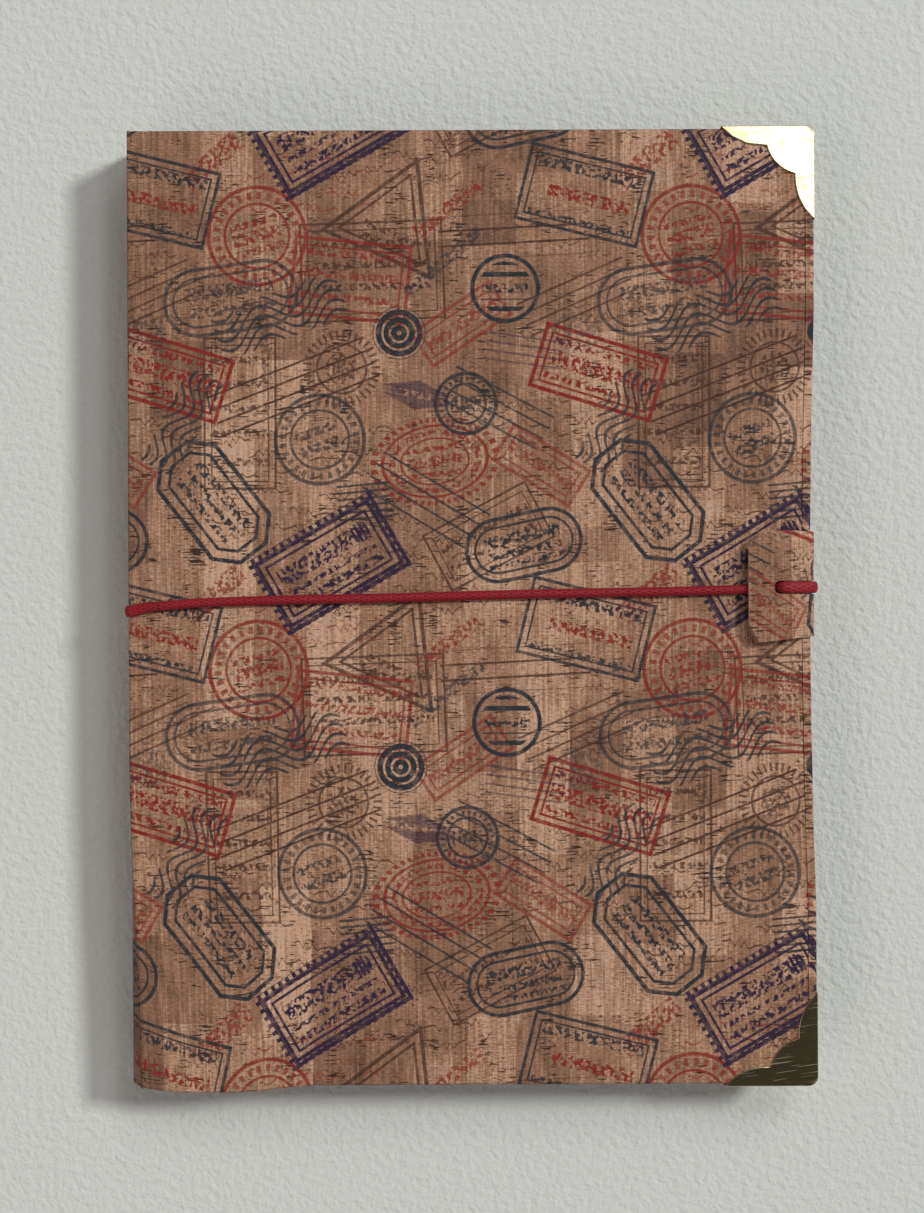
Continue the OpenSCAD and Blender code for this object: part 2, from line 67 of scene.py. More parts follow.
class Wire:
    # one shader socket, so that sums on masks read as sums
    def __init__(self, tree, socket):
        self.tree = tree
        self.socket = socket

    def node(self, kind, settings, inputs, out=0):
        made = self.tree.nodes.new(kind)
        for name, value in settings.items():
            if name == "stops":
                ramp = made.color_ramp
                while len(ramp.elements) < len(value):
                    ramp.elements.new(0.5)
                for stop, (place, colour) in zip(ramp.elements, value):
                    stop.position = place
                    stop.color = colour
            else:
                setattr(made, name, value)
        for name, value in inputs.items():
            if isinstance(value, Wire):
                self.tree.links.new(value.socket, made.inputs[name])
            else:
                made.inputs[name].default_value = value
        return Wire(self.tree, made.outputs[out])

    def math(self, operation, *others, clamp=False):
        settings = {"operation": operation, "use_clamp": clamp}
        return self.node("ShaderNodeMath", settings, dict(enumerate((self,) + others)))

    def vector(self, operation, other):
        return self.node("ShaderNodeVectorMath", {"operation": operation}, {0: self, 1: other})

    def __add__(self, other):
        return self.math("ADD", other)

    def __sub__(self, other):
        return self.math("SUBTRACT", other)

    def __rsub__(self, other):
        return self.math("MULTIPLY_ADD", -1.0, other)

    def __mul__(self, other):
        return self.math("MULTIPLY", other)

    __radd__, __rmul__ = __add__, __mul__

    def __truediv__(self, other):
        return self.math("DIVIDE", other)

    def __abs__(self):
        return self.math("ABSOLUTE")

    def top(self, other):
        return self.math("MAXIMUM", other)

    def under(self, limit):
        return self.math("LESS_THAN", limit)

    def over(self, limit):
        return self.math("GREATER_THAN", limit)

    def sine(self):
        return self.math("SINE")

    def fract(self):
        return self.math("FRACT")

    def ramp(self, start, end):
        # 0 at start and 1 at end, straight between
        return self.math("MULTIPLY_ADD", 1 / (end - start), -start / (end - start), clamp=True)

    def line(self, width, soft=printEdge):
        # 1 where the value is within half of width of zero
        return abs(self).math("MULTIPLY_ADD", -1 / soft, width / 2 / soft + 0.5, clamp=True)

    def inside(self, soft=printEdge):
        # 1 where the value is below zero
        return self.math("MULTIPLY_ADD", -1 / soft, 0.5, clamp=True)

    def scaled(self, *size):
        return self.vector("MULTIPLY", size)

    def noise(self, scale, detail=0.0, roughness=0.5, plane="2D"):
        inputs = {"Vector": self, "Scale": scale, "Detail": detail, "Roughness": roughness}
        return self.node("ShaderNodeTexNoise", {"noise_dimensions": plane}, inputs)

    def parts(self):
        split = self.node("ShaderNodeSeparateXYZ", {}, {0: self})
        owner = split.socket.node
        return [Wire(self.tree, owner.outputs[axis]) for axis in range(3)]

    def blend(self, colourA, colourB):
        # self is the share of colourB
        return self.node("ShaderNodeMix", {"data_type": "RGBA"}, {0: self, 6: colourA, 7: colourB}, 2)

    def times(self, factor):
        # a colour multiplied by another
        settings = {"data_type": "RGBA", "blend_type": "MULTIPLY"}
        return self.node("ShaderNodeMix", settings, {0: 1.0, 6: self, 7: factor}, 2)

    def chance(self, other):
        # a random level that is the same all over one cell of two whole numbers
        cell = self.node("ShaderNodeCombineXYZ", {}, {0: self, 1: other})
        return self.node("ShaderNodeTexWhiteNoise", {"noise_dimensions": "2D"}, {"Vector": cell})


def startWire(tree, source):
    # where a pattern starts: Object coordinates in mm, or a UV map in mm
    if source == "Object":
        node = tree.nodes.new("ShaderNodeTexCoord")
        socket = node.outputs["Object"]
    else:
        node = tree.nodes.new("ShaderNodeUVMap")
        node.uv_map = source
        socket = node.outputs["UV"]
    return Wire(tree, socket).vector("MULTIPLY", (1000, 1000, 1000))


def surface(name, pattern, strength, depth, settings, source="Object"):
    # a material: settings for the shader's own sockets, and a pattern that gives what varies over it and
    # the height of its bump
    made = bpy.data.materials.new(name)
    made.use_nodes = True
    tree = made.node_tree
    shader = tree.nodes["Principled BSDF"]
    for socket, value in settings.items():
        shader.inputs[socket].default_value = value
    made.diffuse_color = settings.get("Base Color", (0.5, 0.5, 0.5, 1))
    varied, height = pattern(startWire(tree, source))
    bump = height.node("ShaderNodeBump", {}, {"Strength": strength, "Distance": depth, "Height": height})
    for socket, wire in {**varied, "Normal": bump}.items():
        tree.links.new(wire.socket, shader.inputs[socket])
    return made


corkPrint = {
    "repeat": 98.0,          # mm from one repeat of the print to the next
    "cork": (0.288, 0.152, 0.089, 1),
    "corkDark": (0.130, 0.064, 0.038, 1),
    "corkPale": (0.600, 0.380, 0.255, 1),
    "corkRosy": (0.290, 0.142, 0.092, 1),
    "slate": (0.020, 0.023, 0.028, 1),
    "brick": (0.205, 0.014, 0.010, 1),
    "plum": (0.026, 0.012, 0.036, 1),
    "sepia": (0.052, 0.020, 0.012, 1),
}


def joined(first, second):
    # the stronger of two masks, where either may be missing
    if first is None or second is None:
        return second if first is None else first
    return first.top(second)


def doubled(gap, weight, apart, inner):
    # an outline, and a second one inside it
    return gap.line(weight).top((gap + apart).line(inner))


def rowsOf(x, y, rows, halfLength):
    # rows that are broken into strokes later, so that they stand for writing with no letter in them
    mask = None
    for height, place in rows:
        mask = joined(mask, (y - place).line(height))
    return mask * abs(x).under(halfLength)


def lengthOf(x, y):
    return x.math("MULTIPLY_ADD", x, y * y).math("SQRT")


def spokesOf(x, y, count, share):
    return (y.math("ARCTAN2", x) * (count / math.tau)).fract().under(share)


def dashesOf(x, pitch, share):
    return (x / pitch).fract().under(share)


def stepsOf(y, pitch):
    # how far a point is from the nearest of many lines a pitch apart
    return ((y / pitch).fract() - 0.5) * pitch


def boxGap(x, y, wide, high):
    # how far a point is outside a rectangle
    return (abs(x) - wide).top(abs(y) - high)


# Each mark takes its own x and y in mm and gives the mask of its lines and the mask of its writing.
# Its sizes are in mm, and a number that multiplies one is a share of it.

def ringMark(x, y, size, rows):
    radius = lengthOf(x, y)
    legend = (radius - size * 0.83).line(size * 0.15) * spokesOf(x, y, 26, 0.45) * 0.85
    lines = (radius - size).line(0.85).top((radius - size * 0.66).line(0.6)).top(legend)
    return lines, rowsOf(x, y, rows, size * 0.5)


def barredMark(x, y, size, gap):
    radius = lengthOf(x, y)
    bars = dashesOf(y, gap, 0.42) * (radius - size * 0.82).inside() * abs(y).over(gap * 0.9)
    return (radius - size).line(0.95).top(bars), rowsOf(x, y, [(gap * 0.8, 0.0)], size * 0.7)


def targetMark(x, y, size, rings):
    radius = lengthOf(x, y)
    return (radius * (rings / size)).fract().over(0.3) * (radius - size).inside(), None


def rayMark(x, y, size, rays):
    radius = lengthOf(x, y)
    crown = (radius - size * 0.86).line(size * 0.22) * spokesOf(x, y, rays, 0.38)
    return crown.top((radius - size * 0.62).line(0.55)), (radius - size * 0.4).inside(0.4)


def ovalMark(x, y, size, high):
    radius = lengthOf(x, y * (size / high))
    border = (radius - size).line(1.5) * spokesOf(x, y, 40, 0.5)
    lines = border.top((radius - size * 0.85).line(0.8)).top((radius - size * 0.55).line(0.6))
    writing = rowsOf(x, y, [(2.4, 0.0), (1.2, 2.9), (1.2, -2.9)], size * 0.46)
    return lines, writing.top((radius - size * 0.70).line(1.6))


def frameMark(x, y, wide, high, rows, weight):
    return doubled(boxGap(x, y, wide, high), weight, 1.6, weight * 0.6), rowsOf(x, y, rows, wide * 0.84)


def toothedMark(x, y, wide, high, rows):
    # a frame with small teeth all round
    gap = boxGap(x, y, wide, high)
    teeth = dashesOf(x, 1.9, 0.5).top(dashesOf(y, 1.9, 0.5))
    border = (gap.line(1.3) * teeth).top((gap + 1.1).line(0.9)).top((gap + 2.7).line(0.6))
    dots = lengthOf(x - wide * 0.62, y - high * 0.3).line(4.6) * dashesOf(x, 1.1, 0.6)
    return border.top(dots), rowsOf(x, y, rows, wide * 0.74)


def cutCornerMark(x, y, wide, high, cut, rows):
    # a long frame with cut corners, drawn double
    diagonal = 0.7071
    gap = boxGap(x, y, wide, high).top((abs(x) + abs(y) - (wide + high - cut)) * diagonal)
    return doubled(gap, 0.95, 2.4, 0.7), rowsOf(x, y, rows, wide * 0.62)


def pillMark(x, y, wide, high, rows):
    # a rounded cartouche
    gap = lengthOf((abs(x) - (wide - high)).top(0.0), y) - high
    return doubled(gap, 0.85, 1.9, 0.55), rowsOf(x, y, rows, wide * 0.66)


def triangleMark(x, y, size, rows):
    gap = (abs(x) * 0.866 + y * 0.5).top(y * -1.0) - size
    return doubled(gap, 0.9, 1.8, 0.6), rowsOf(x, y, rows, size * 0.7)


def waveMark(x, y, wide, high, pitch, swing):
    # cancelling waves
    lifted = y + (x * (math.tau / (wide * 1.1))).sine() * swing
    return stepsOf(lifted, pitch).line(0.75) * boxGap(x, y, wide, high).inside(0.3), None


def barMark(x, y, wide, high, pitch):
    # straight cancelling bars
    return stepsOf(y, pitch).line(0.5) * boxGap(x, y, wide, high).inside(0.3), None


def diamondMark(x, y, wide, high):
    gap = (abs(x) * (high / wide) + abs(y)) - high
    return gap.inside(0.4) * abs(y).over(high * 0.22), (gap + 0.8).inside(0.3)


def scriptMark(x, y, wide, high, pitch):
    # lines of a looping pen stroke that say nothing
    loops = (x * 2.6 + (x * 0.83).sine() * 2.4).sine() * 0.6
    lifted = y + loops + (x * 0.21).sine() * 1.3
    pen = stepsOf(lifted, pitch).line(0.36, 0.22) * boxGap(x, y, wide, high).inside(0.6)
    return pen * (x * 0.55 + y * 0.9).sine().over(-0.45), None


def stripeMark(x, y, wide, high):
    return None, rowsOf(x, y, [(high, 0.0)], wide)


def blotMark(x, y, wide, high):
    # a worn solid oval
    return None, (lengthOf(x, y * (wide / high)) - wide).inside(0.6)


# every mark of the print: its ink, its strength, its place in the repeat in mm, its turn in degrees, its
# kind and that kind's sizes
printMarks = [
    ("slate", 0.90, (12, 14), 12, pillMark, (13.0, 7.0, [(2.6, 2.0), (1.7, -1.2), (1.2, -3.6)])),
    ("slate", 0.92, (40, 24), -52, cutCornerMark, (14.5, 8.2, 4.6, [(2.2, 2.6), (1.8, -0.4), (1.6, -3.2)])),
    ("plum", 0.96, (66, 10), 30, toothedMark, (15.5, 9.0, [(4.0, 2.4), (1.2, -1.6), (1.8, -4.4)])),
    ("brick", 0.94, (29, 53), -17, frameMark, (14.0, 7.2, [(1.6, 4.2), (3.6, 0.2), (1.5, -3.9)], 0.9)),
    ("brick", 0.82, (90, 33), 8, ovalMark, (14.0, 9.4)),
    ("slate", 0.76, (64, 38), 20, ringMark, (10.0, [(2.0, 2.0), (2.4, -1.6)])),
    ("slate", 0.95, (8, 72), 0, barredMark, (7.4, 2.6)),
    ("slate", 0.95, (82, 62), 0, targetMark, (6.0, 3.4)),
    ("brick", 0.84, (50, 84), 15, ringMark, (11.0, [(1.6, 3.0), (2.8, 0.0), (1.6, -3.2)])),
    ("slate", 0.84, (55, 66), 20, waveMark, (15.0, 5.4, 2.3, 2.6)),
    ("slate", 0.88, (26, 93), -14, frameMark, (14.0, 8.6, [(2.4, 5.4), (1.6, -6.4)], 0.75)),
    ("brick", 0.90, (27, 92), -14, stripeMark, (9.5, 2.8)),
    ("sepia", 0.8, (80, 87), -24, triangleMark, (7.6, [(1.6, -2.2), (1.4, -4.8)])),
    ("slate", 0.8, (6, 45), -28, barMark, (12.5, 6.6, 2.7)),
    ("slate", 0.86, (97, 46), 0, ringMark, (6.8, [(3.4, 0.0)])),
    ("brick", 0.78, (40, 3), 42, stripeMark, (8.0, 4.6)),
    ("brick", 0.74, (93, 90), 38, stripeMark, (9.0, 3.2)),
    ("slate", 0.72, (92, 78), 40, stripeMark, (11.0, 2.6)),
    ("sepia", 0.75, (69, 54), 0, rayMark, (9.0, 34)),
    ("slate", 0.72, (44, 70), 8, pillMark, (15.0, 7.4, [(3.0, 2.0), (2.0, -2.6)])),
    ("brick", 0.76, (71, 74), -6, frameMark, (13.0, 8.6, [(1.6, 5.6), (2.0, 1.0), (1.6, -4.2)], 0.8)),
    ("brick", 0.62, (16, 32), -32, frameMark, (10.0, 4.6, [(3.0, 0.0)], 0.8)),
    ("brick", 0.66, (96, 64), 34, frameMark, (10.5, 4.4, [(2.6, 0.0)], 0.8)),
    ("plum", 0.62, (86, 48), -12, diamondMark, (10.5, 3.4)),
    ("sepia", 0.85, (60, 28), 3, scriptMark, (21.0, 13.0, 4.2)),
    ("sepia", 0.85, (18, 38), -4, scriptMark, (19.0, 10.0, 3.8)),
    ("sepia", 0.85, (84, 10), 2, scriptMark, (18.0, 12.0, 4.0)),
    ("sepia", 0.66, (36, 74), 6, scriptMark, (15.0, 11.0, 3.6)),
    ("sepia", 0.8, (46, 44), 0, frameMark,
     (8.0, 17.0, [(1.8, 12.0), (1.6, 6.5), (1.6, 1.0), (1.6, -4.5), (1.8, -11)], 0.5)),
    ("sepia", 0.8, (76, 76), 2, frameMark, (16.0, 11.0, [(1.8, 6.0), (1.6, 1.5), (1.6, -3.5)], 0.5)),
    ("sepia", 0.8, (4, 16), 28, frameMark, (13.0, 7.0, [(1.6, 2.0), (1.4, -2.5)], 0.5)),
    ("slate", 0.85, (74, 24), 5, barMark, (6.0, 4.5, 1.5)),
    ("slate", 0.80, (33, 42), 62, waveMark, (12.0, 4.4, 2.2, 1.9)),
    ("plum", 0.55, (12, 58), -8, barMark, (9.0, 3.2, 2.0)),
    ("brick", 0.7, (62, 96), 5, scriptMark, (15.0, 7.0, 3.8)),
    ("sepia", 0.75, (24, 70), 24, barMark, (13.0, 6.0, 2.6)),
    ("sepia", 0.50, (52, 60), 90, stripeMark, (9.0, 2.4)),
    ("slate", 0.45, (24, 62), 0, blotMark, (5.6, 4.6)),
    ("sepia", 0.90, (58, 50), 21, barMark, (19.0, 5.0, 3.1)),
    ("sepia", 0.85, (10, 84), 3, barMark, (17.0, 5.0, 3.4)),
    ("slate", 0.85, (88, 24), -31, barMark, (14.0, 5.0, 3.1)),
]


corkLook = {
    "strip": 11.8,           # width of a strip of bark, mm
    "block": 46.0,           # length along it of one tone
    "patch": 17.0,           # and of a patch within that
    "waver": 3.0,            # how far the seams between strips stray, mm
    "weave": 2.6,            # threads of the backing cloth, radians to a mm
    "pore": (0.024, 0.010, 0.007, 1),
    "poreShare": 0.94,
    "seam": (0.06, 0.03, 0.02, 1),
    "seamShare": 0.16,
    "rosyShare": 0.2,
}


def corkPattern(sheet):
    # plain cork: strips laid side by side, grain, pores and a fine weave. Gives its colour, its height and
    # a noise for the wear of the print.
    u, v, _ = sheet.parts()
    lean = sheet.scaled(0.02, 0.05, 0).noise(1.0, 1.0)
    strip = ((u + lean * corkLook["waver"]) / corkLook["strip"]).math("FLOOR")
    tone = strip.chance(((v + strip * 37.0) / corkLook["block"]).math("FLOOR"))
    patch = strip.chance(((v + strip * 53.0 + lean * 6.0) / corkLook["patch"]).math("FLOOR"))
    grain = sheet.scaled(1.7, 0.07, 0).noise(1.0, 2.0, 0.6)
    mottle = sheet.scaled(0.22, 0.13, 0).noise(1.0, 3.0, 0.6)
    flecks = sheet.scaled(0.9, 2.4, 0).noise(1.0, 2.0, 0.6)
    crowd = sheet.scaled(0.15, 0.12, 0).noise(1.0, 2.0, 0.6) + (patch - 0.5) * 0.06
    pores = (sheet.scaled(0.20, 2.0, 0).noise(1.0, 2.0, 0.55) + (crowd - 0.5) * 0.62).ramp(0.71, 0.74)
    moved = sheet.vector("ADD", (31.7, 12.3, 0))
    shortPores = (moved.scaled(0.75, 2.5, 0).noise(1.0, 1.0) + (crowd - 0.5) * 0.5).ramp(0.73, 0.78)
    place = (u + lean * corkLook["waver"]) / corkLook["strip"]
    seams = abs(place.fract() - 0.5).ramp(0.47, 0.5)
    weft = abs((u * corkLook["weave"]).sine())
    threads = weft.top(abs((v * corkLook["weave"]).sine())).ramp(0.93, 1.0)
    level = (tone - 0.5) * 0.5 + (patch - 0.5) * 0.5 + (grain - 0.5) * 1.0 + (mottle - 0.5) * 0.75
    level = level + (flecks - 0.5) * 1.0 - threads * 0.08
    shade = level.ramp(-0.56, 0.56)
    stops = [(0.0, corkPrint["corkDark"]), (0.5, corkPrint["cork"]), (1.0, corkPrint["corkPale"])]
    colour = shade.node("ShaderNodeValToRGB", {"stops": stops}, {0: shade})
    colour = (mottle.ramp(0.42, 0.62) * corkLook["rosyShare"]).blend(colour, corkPrint["corkRosy"])
    dark = pores.top(shortPores * 0.85)
    colour = (dark * corkLook["poreShare"]).blend(colour, corkLook["pore"])
    colour = (seams * corkLook["seamShare"]).blend(colour, corkLook["seam"])
    height = level * 0.35 - dark * 0.8 - seams * 0.25 - threads * 0.3
    return colour, height, sheet.scaled(0.5, 0.5, 0).noise(1.0, 3.0, 0.7)


def printedColour(sheet, colour, wornNoise):
    # lays the marks of the print over the cork, worn where the noise is low
    half = corkPrint["repeat"] / 2
    u, v, _ = sheet.parts()
    lines, writing = {}, {}
    for ink, strength, (placeX, placeY), turn, draw, sizes in printMarks:
        x = (u - placeX).math("WRAP", half, -half)
        y = (v - placeY).math("WRAP", half, -half)
        if turn:
            across, up = math.cos(math.radians(turn)), math.sin(math.radians(turn))
            x, y = x.math("MULTIPLY_ADD", across, y * up), y.math("MULTIPLY_ADD", across, x * -up)
        for masks, mask in zip((lines, writing), draw(x, y, *sizes)):
            if mask is not None:
                masks[ink] = joined(masks.get(ink), mask * strength)
    strokes = sheet.scaled(1.0, 0.85, 0).noise(1.0, 1.0).ramp(0.47, 0.54)
    wear = wornNoise.ramp(0.3, 0.55) * 0.34 + 0.74
    for ink in ("sepia", "brick", "slate", "plum"):
        mask = joined(lines.get(ink), writing[ink] * strokes)
        colour = (mask * wear).blend(colour, corkPrint[ink])
    return colour


def printedPattern(sheet):
    colour, height, wear = corkPattern(sheet)
    return {"Base Color": printedColour(sheet, colour, wear), "Roughness": height * 0.08 + 0.7}, height


printedCork = surface("printedCork", printedPattern, 0.55, 0.00012, {
    "Roughness": 0.72, "Specular IOR Level": 0.2}, "sheet")
print("printed cork with", len(printMarks), "marks,", len(printedCork.node_tree.nodes), "nodes")


def closeEdit():
    if bpy.context.mode != "OBJECT":
        bpy.ops.object.mode_set(mode="OBJECT")


def clearSelection():
    closeEdit()
    bpy.ops.object.select_all(action="DESELECT")


def chosen(piece, *others):
    # selects a piece, with others if any, and makes it the active one
    clearSelection()
    for part in (piece,) + others:
        part.select_set(True)
    bpy.context.view_layer.objects.active = piece


def startPiece(name):
    # names the fresh primitive and puts its place into its mesh
    piece = bpy.context.object
    piece.name = name
    piece.data.name = name
    bpy.ops.object.transform_apply(location=True, rotation=True, scale=True)
    return piece


def addBox(name, low, high):
    # a box between two corners given in mm
    clearSelection()
    middle = [(a + b) / 2 * mm for a, b in zip(low, high)]
    bpy.ops.mesh.primitive_cube_add(size=1, location=middle)
    bpy.context.object.scale = [(b - a) * mm for a, b in zip(low, high)]
    return startPiece(name)


def pick(piece, kind, wanted):
    # selects the faces whose middle and normal, or the edges whose two ends, pass the test in mm, and opens
    # edit mode
    closeEdit()
    mesh = piece.data
    for part in (mesh.vertices, mesh.edges, mesh.polygons):
        part.foreach_set("select", [False] * len(part))
    if kind == "FACE":
        for face in mesh.polygons:
            face.select = wanted(face.center / mm, face.normal)
    else:
        for edge in mesh.edges:
            edge.select = wanted(*(mesh.vertices[n].co / mm for n in edge.vertices))
    bpy.ops.object.mode_set(mode="EDIT")
    bpy.ops.mesh.select_mode(type=kind)


def cutAt(axis, places):
    # bisects everything in edit mode at places along an axis, in mm
    normal = [0, 0, 0]
    normal[axis] = 1
    for place in places:
        bpy.ops.mesh.select_all(action="SELECT")
        bpy.ops.mesh.bisect(plane_co=[part * place * mm for part in normal], plane_no=normal)


def applied(piece, kind, **settings):
    closeEdit()
    bpy.context.view_layer.objects.active = piece
    made = piece.modifiers.new(kind.title(), kind)
    for name, value in settings.items():
        setattr(made, name, value)
    bpy.ops.object.modifier_apply(modifier=made.name)


def moveEach(piece, rule):
    # moves every point by a rule on its place in mm
    closeEdit()
    for point in piece.data.vertices:
        point.co = Vector(rule(*(point.co / mm))) * mm


def smoothFaces(piece, angle):
    chosen(piece)
    bpy.ops.object.shade_smooth_by_angle(angle=math.radians(angle))


def stands(piece, node, slot, *materials):
    # a finished piece gets its materials and takes the place of a CAD node
    piece.data.materials.clear()
    for material in materials:
        piece.data.materials.append(material)
    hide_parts(node)


def fade(value, start, end):
    # 0 at start, 1 at end, eased between
    share = min(max((value - start) / (end - start), 0.0), 1.0)
    return share * share * (3 - 2 * share)


elastic = {
    "spineY": -0.6,          # height of the hole in the spine above the middle, mm
    "tabY": 4.2,             # and of the hole in the tab
    "round": 2.1,            # diameter where the elastic lies free
    "flatHigh": 1.35,        # height and width where it is drawn flat over an edge
    "flatWide": 2.6,
    "bite": 0.5,             # how deep it presses into the cork there
    "lie": 0.05,             # gap to what it lies on
    "grooveHalf": 1.8,       # half the width of the groove it has pressed
    "grooveEnd": 6,          # where that groove dies out on the cover, from the fold
    "turnFlat": 0.6,         # how flat it is drawn in a tight turn
    "spacing": 1.6,          # length of its mesh from ring to ring
    "short": 1.2,            # a span shorter than this is left straight
    "sides": 20,
}
# where the cork is cut so that it can carry that groove, mm
grooveCuts = [elastic["spineY"] + offset for offset in (-2.4, -1.8, -1.2, -0.6, 0.0, 0.6, 1.2, 1.8, 2.4)]

wrap = {
    "sheet": 0.7,            # thickness of the cork sheet in the CAD, mm
    "skin": 0.62,            # thickness of the wrap
    "corner": 1.6,           # rounding of the covers' corners, seen from above
    "edge": 0.75,            # rounding of the boards' edges under the cork
    "foldRound": 0.69,       # rounding of the folds, a hair less than the sheet's thickness
    "turnIn": 14.0,
    "bow": 1.1,              # how far the cord draws the fore-edge in
    "bowHalf": 66.0,         # half the length that it draws in
    "bowFrom": (0.86, 0.995),
    "ripple": 0.16,          # unevenness of the pasted cork
    "footIn": 2.5,           # how far the tail of the spine is pushed in
    "footOut": 1.6,          # and how far the tail edge stands out there
    "footStart": 30,         # where these set in, below the middle
    "tailStart": 70,
    "footUntil": (-0.02, 0.42),
    "footHeight": (0.76, 1.0),
    "step": 4.5,             # spacing of the points that carry the unevenness
    "merge": 0.02,           # points nearer than this become one
    "foldZone": 0.4,         # points this near the fold's side are unrolled with it
    "edgeZone": 1.2,         # and this near an edge, with that edge
}
tabLow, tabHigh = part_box("pull_tab")
tab = {
    "middle": (tabLow[1] + tabHigh[1]) / 2 / mm + 0.5,
    "half": 11.85,           # half its width at the fore-edge
    "thick": 0.9,
    "top": tabHigh[2] / mm,
    "web": tabHigh[0] / mm,  # its outer face at the fore-edge
    "lipStart": tabHigh[0] / mm - 5.9,
    "dent": 0.2,             # depth of the dent over its lip in the back cover
    "rim": 0.2,              # rounding of its edges
    "bend": 35,              # edges sharper than this are rounded, degrees
    "webZone": 1.2,          # points this near the web's face are unrolled with it
    "webTop": 1.4,           # from this far below its top
    "flapRise": 1.5,         # the flap is what stands this high over the cover
    "flapBack": 3.5,         # and this far in from the fore-edge
    "hole": album["fore"] - 8,
    "shift": (-49.2, 30.9),  # where it was cut from the printed sheet
}


def bowAt(y):
    # how far the fore-edge is drawn in at a height on the cover
    return wrap["bow"] * max(0.0, 1 - (y / wrap["bowHalf"]) ** 2)


def settle(x, y, z):
    # the case's wear: the fore-edge drawn in by the cord, and the knocked tail of the spine. Across runs
    # from 0 at the fold to 1 at the fore-edge, and height from 0 at the bottom to 1 at the top.
    across = (x - album["fold"]) / (album["fore"] - album["fold"])
    height = (z - album["bottom"]) / (album["top"] - album["bottom"])
    x -= bowAt(y) * fade(across, *wrap["bowFrom"])
    low = fade(-y, wrap["footStart"], album["half"] + 6) * (1 - fade(across, *wrap["footUntil"]))
    lean = fade(height, *wrap["footHeight"])
    x += wrap["footIn"] * low * lean
    tail = fade(-y, wrap["tailStart"], album["half"]) * fade(across, -0.03, 0.06)
    tail *= 1 - fade(across, 0.13, 0.27)
    y -= wrap["footOut"] * tail * lean
    return x, y, z


def pressed(x, y, z):
    # the groove that the elastic has pressed into the cork up the spine and over its front edge
    side = abs(y - elastic["spineY"]) / elastic["grooveHalf"]
    middle = (album["top"] + album["bottom"]) / 2
    if side >= 1 or z < middle:
        return x, y, z
    depth = elastic["bite"] * (1 - side * side)
    fold, turn = album["fold"], album["top"] - wrap["sheet"]
    if x < fold + 0.01 and z > turn - 0.01:
        across, up = x - fold, z - turn
        reach = math.hypot(across, up)
        share = max(reach - depth, 0.15) / reach if reach > 0.5 else 1
        return fold + across * share, y, turn + up * share
    if x < album["spine"] + 0.15:
        return x + depth * fade(z, middle, middle + 2), y, z
    if z > album["top"] - 0.3 and x < fold + elastic["grooveEnd"]:
        return x, y, z - depth * (1 - (x - fold) / elastic["grooveEnd"])
    return x, y, z


def ripple(x, y):
    # the unevenness of a cover's cork, which dies out towards the fold and the edges
    waves = math.sin(x * 0.13 + 1.7 * math.sin(y * 0.045)) * math.sin(y * 0.11 + 0.8)
    height = wrap["ripple"] * (waves * 0.5 + 0.5)
    return height * fade(x, album["fold"], album["fold"] + 8) * fade(album["half"] - abs(y), 2, 8)


def lipDent(x, y):
    # the dent that the tab's lip has left in the back cover
    depth = tab["dent"] * fade(x, tab["lipStart"] - 3, tab["lipStart"] - 1)
    return depth * (1 - fade(abs(y - tab["middle"]), tab["half"] + 0.8, tab["half"] + 3))


def unroll(x, y, z, front):
    # where a point of the wrap lay on the flat printed sheet, in mm, with the spine at the sheet's middle
    rise = z - album["bottom"]
    total = album["top"] - album["bottom"]
    depth = album["top"] - z
    u, v = (x if front else 2 * album["fold"] - x - total), y
    down, outward = (depth, depth) if front else (rise, -rise)
    if x < album["fold"] + wrap["foldZone"]:
        u = x - depth
    elif x > album["fore"] - wrap["edgeZone"]:
        u = u + outward
    elif abs(y) > album["half"] - wrap["edgeZone"]:
        v = y + math.copysign(down, y)
    return u, v


def printSheet(piece, rule):
    # gives a piece its place on the printed sheet as a UV map, by a rule on a point's place in mm
    closeEdit()
    mesh = piece.data
    layer = mesh.uv_layers.new(name="sheet")
    for loop in mesh.loops:
        u, v = rule(*(mesh.vertices[loop.vertex_index].co / mm))
        layer.data[loop.index].uv = (u * mm, v * mm)


def steps(start, end, spacing):
    count = max(1, round((end - start) / spacing))
    return [start + (end - start) * n / count for n in range(1, count)]


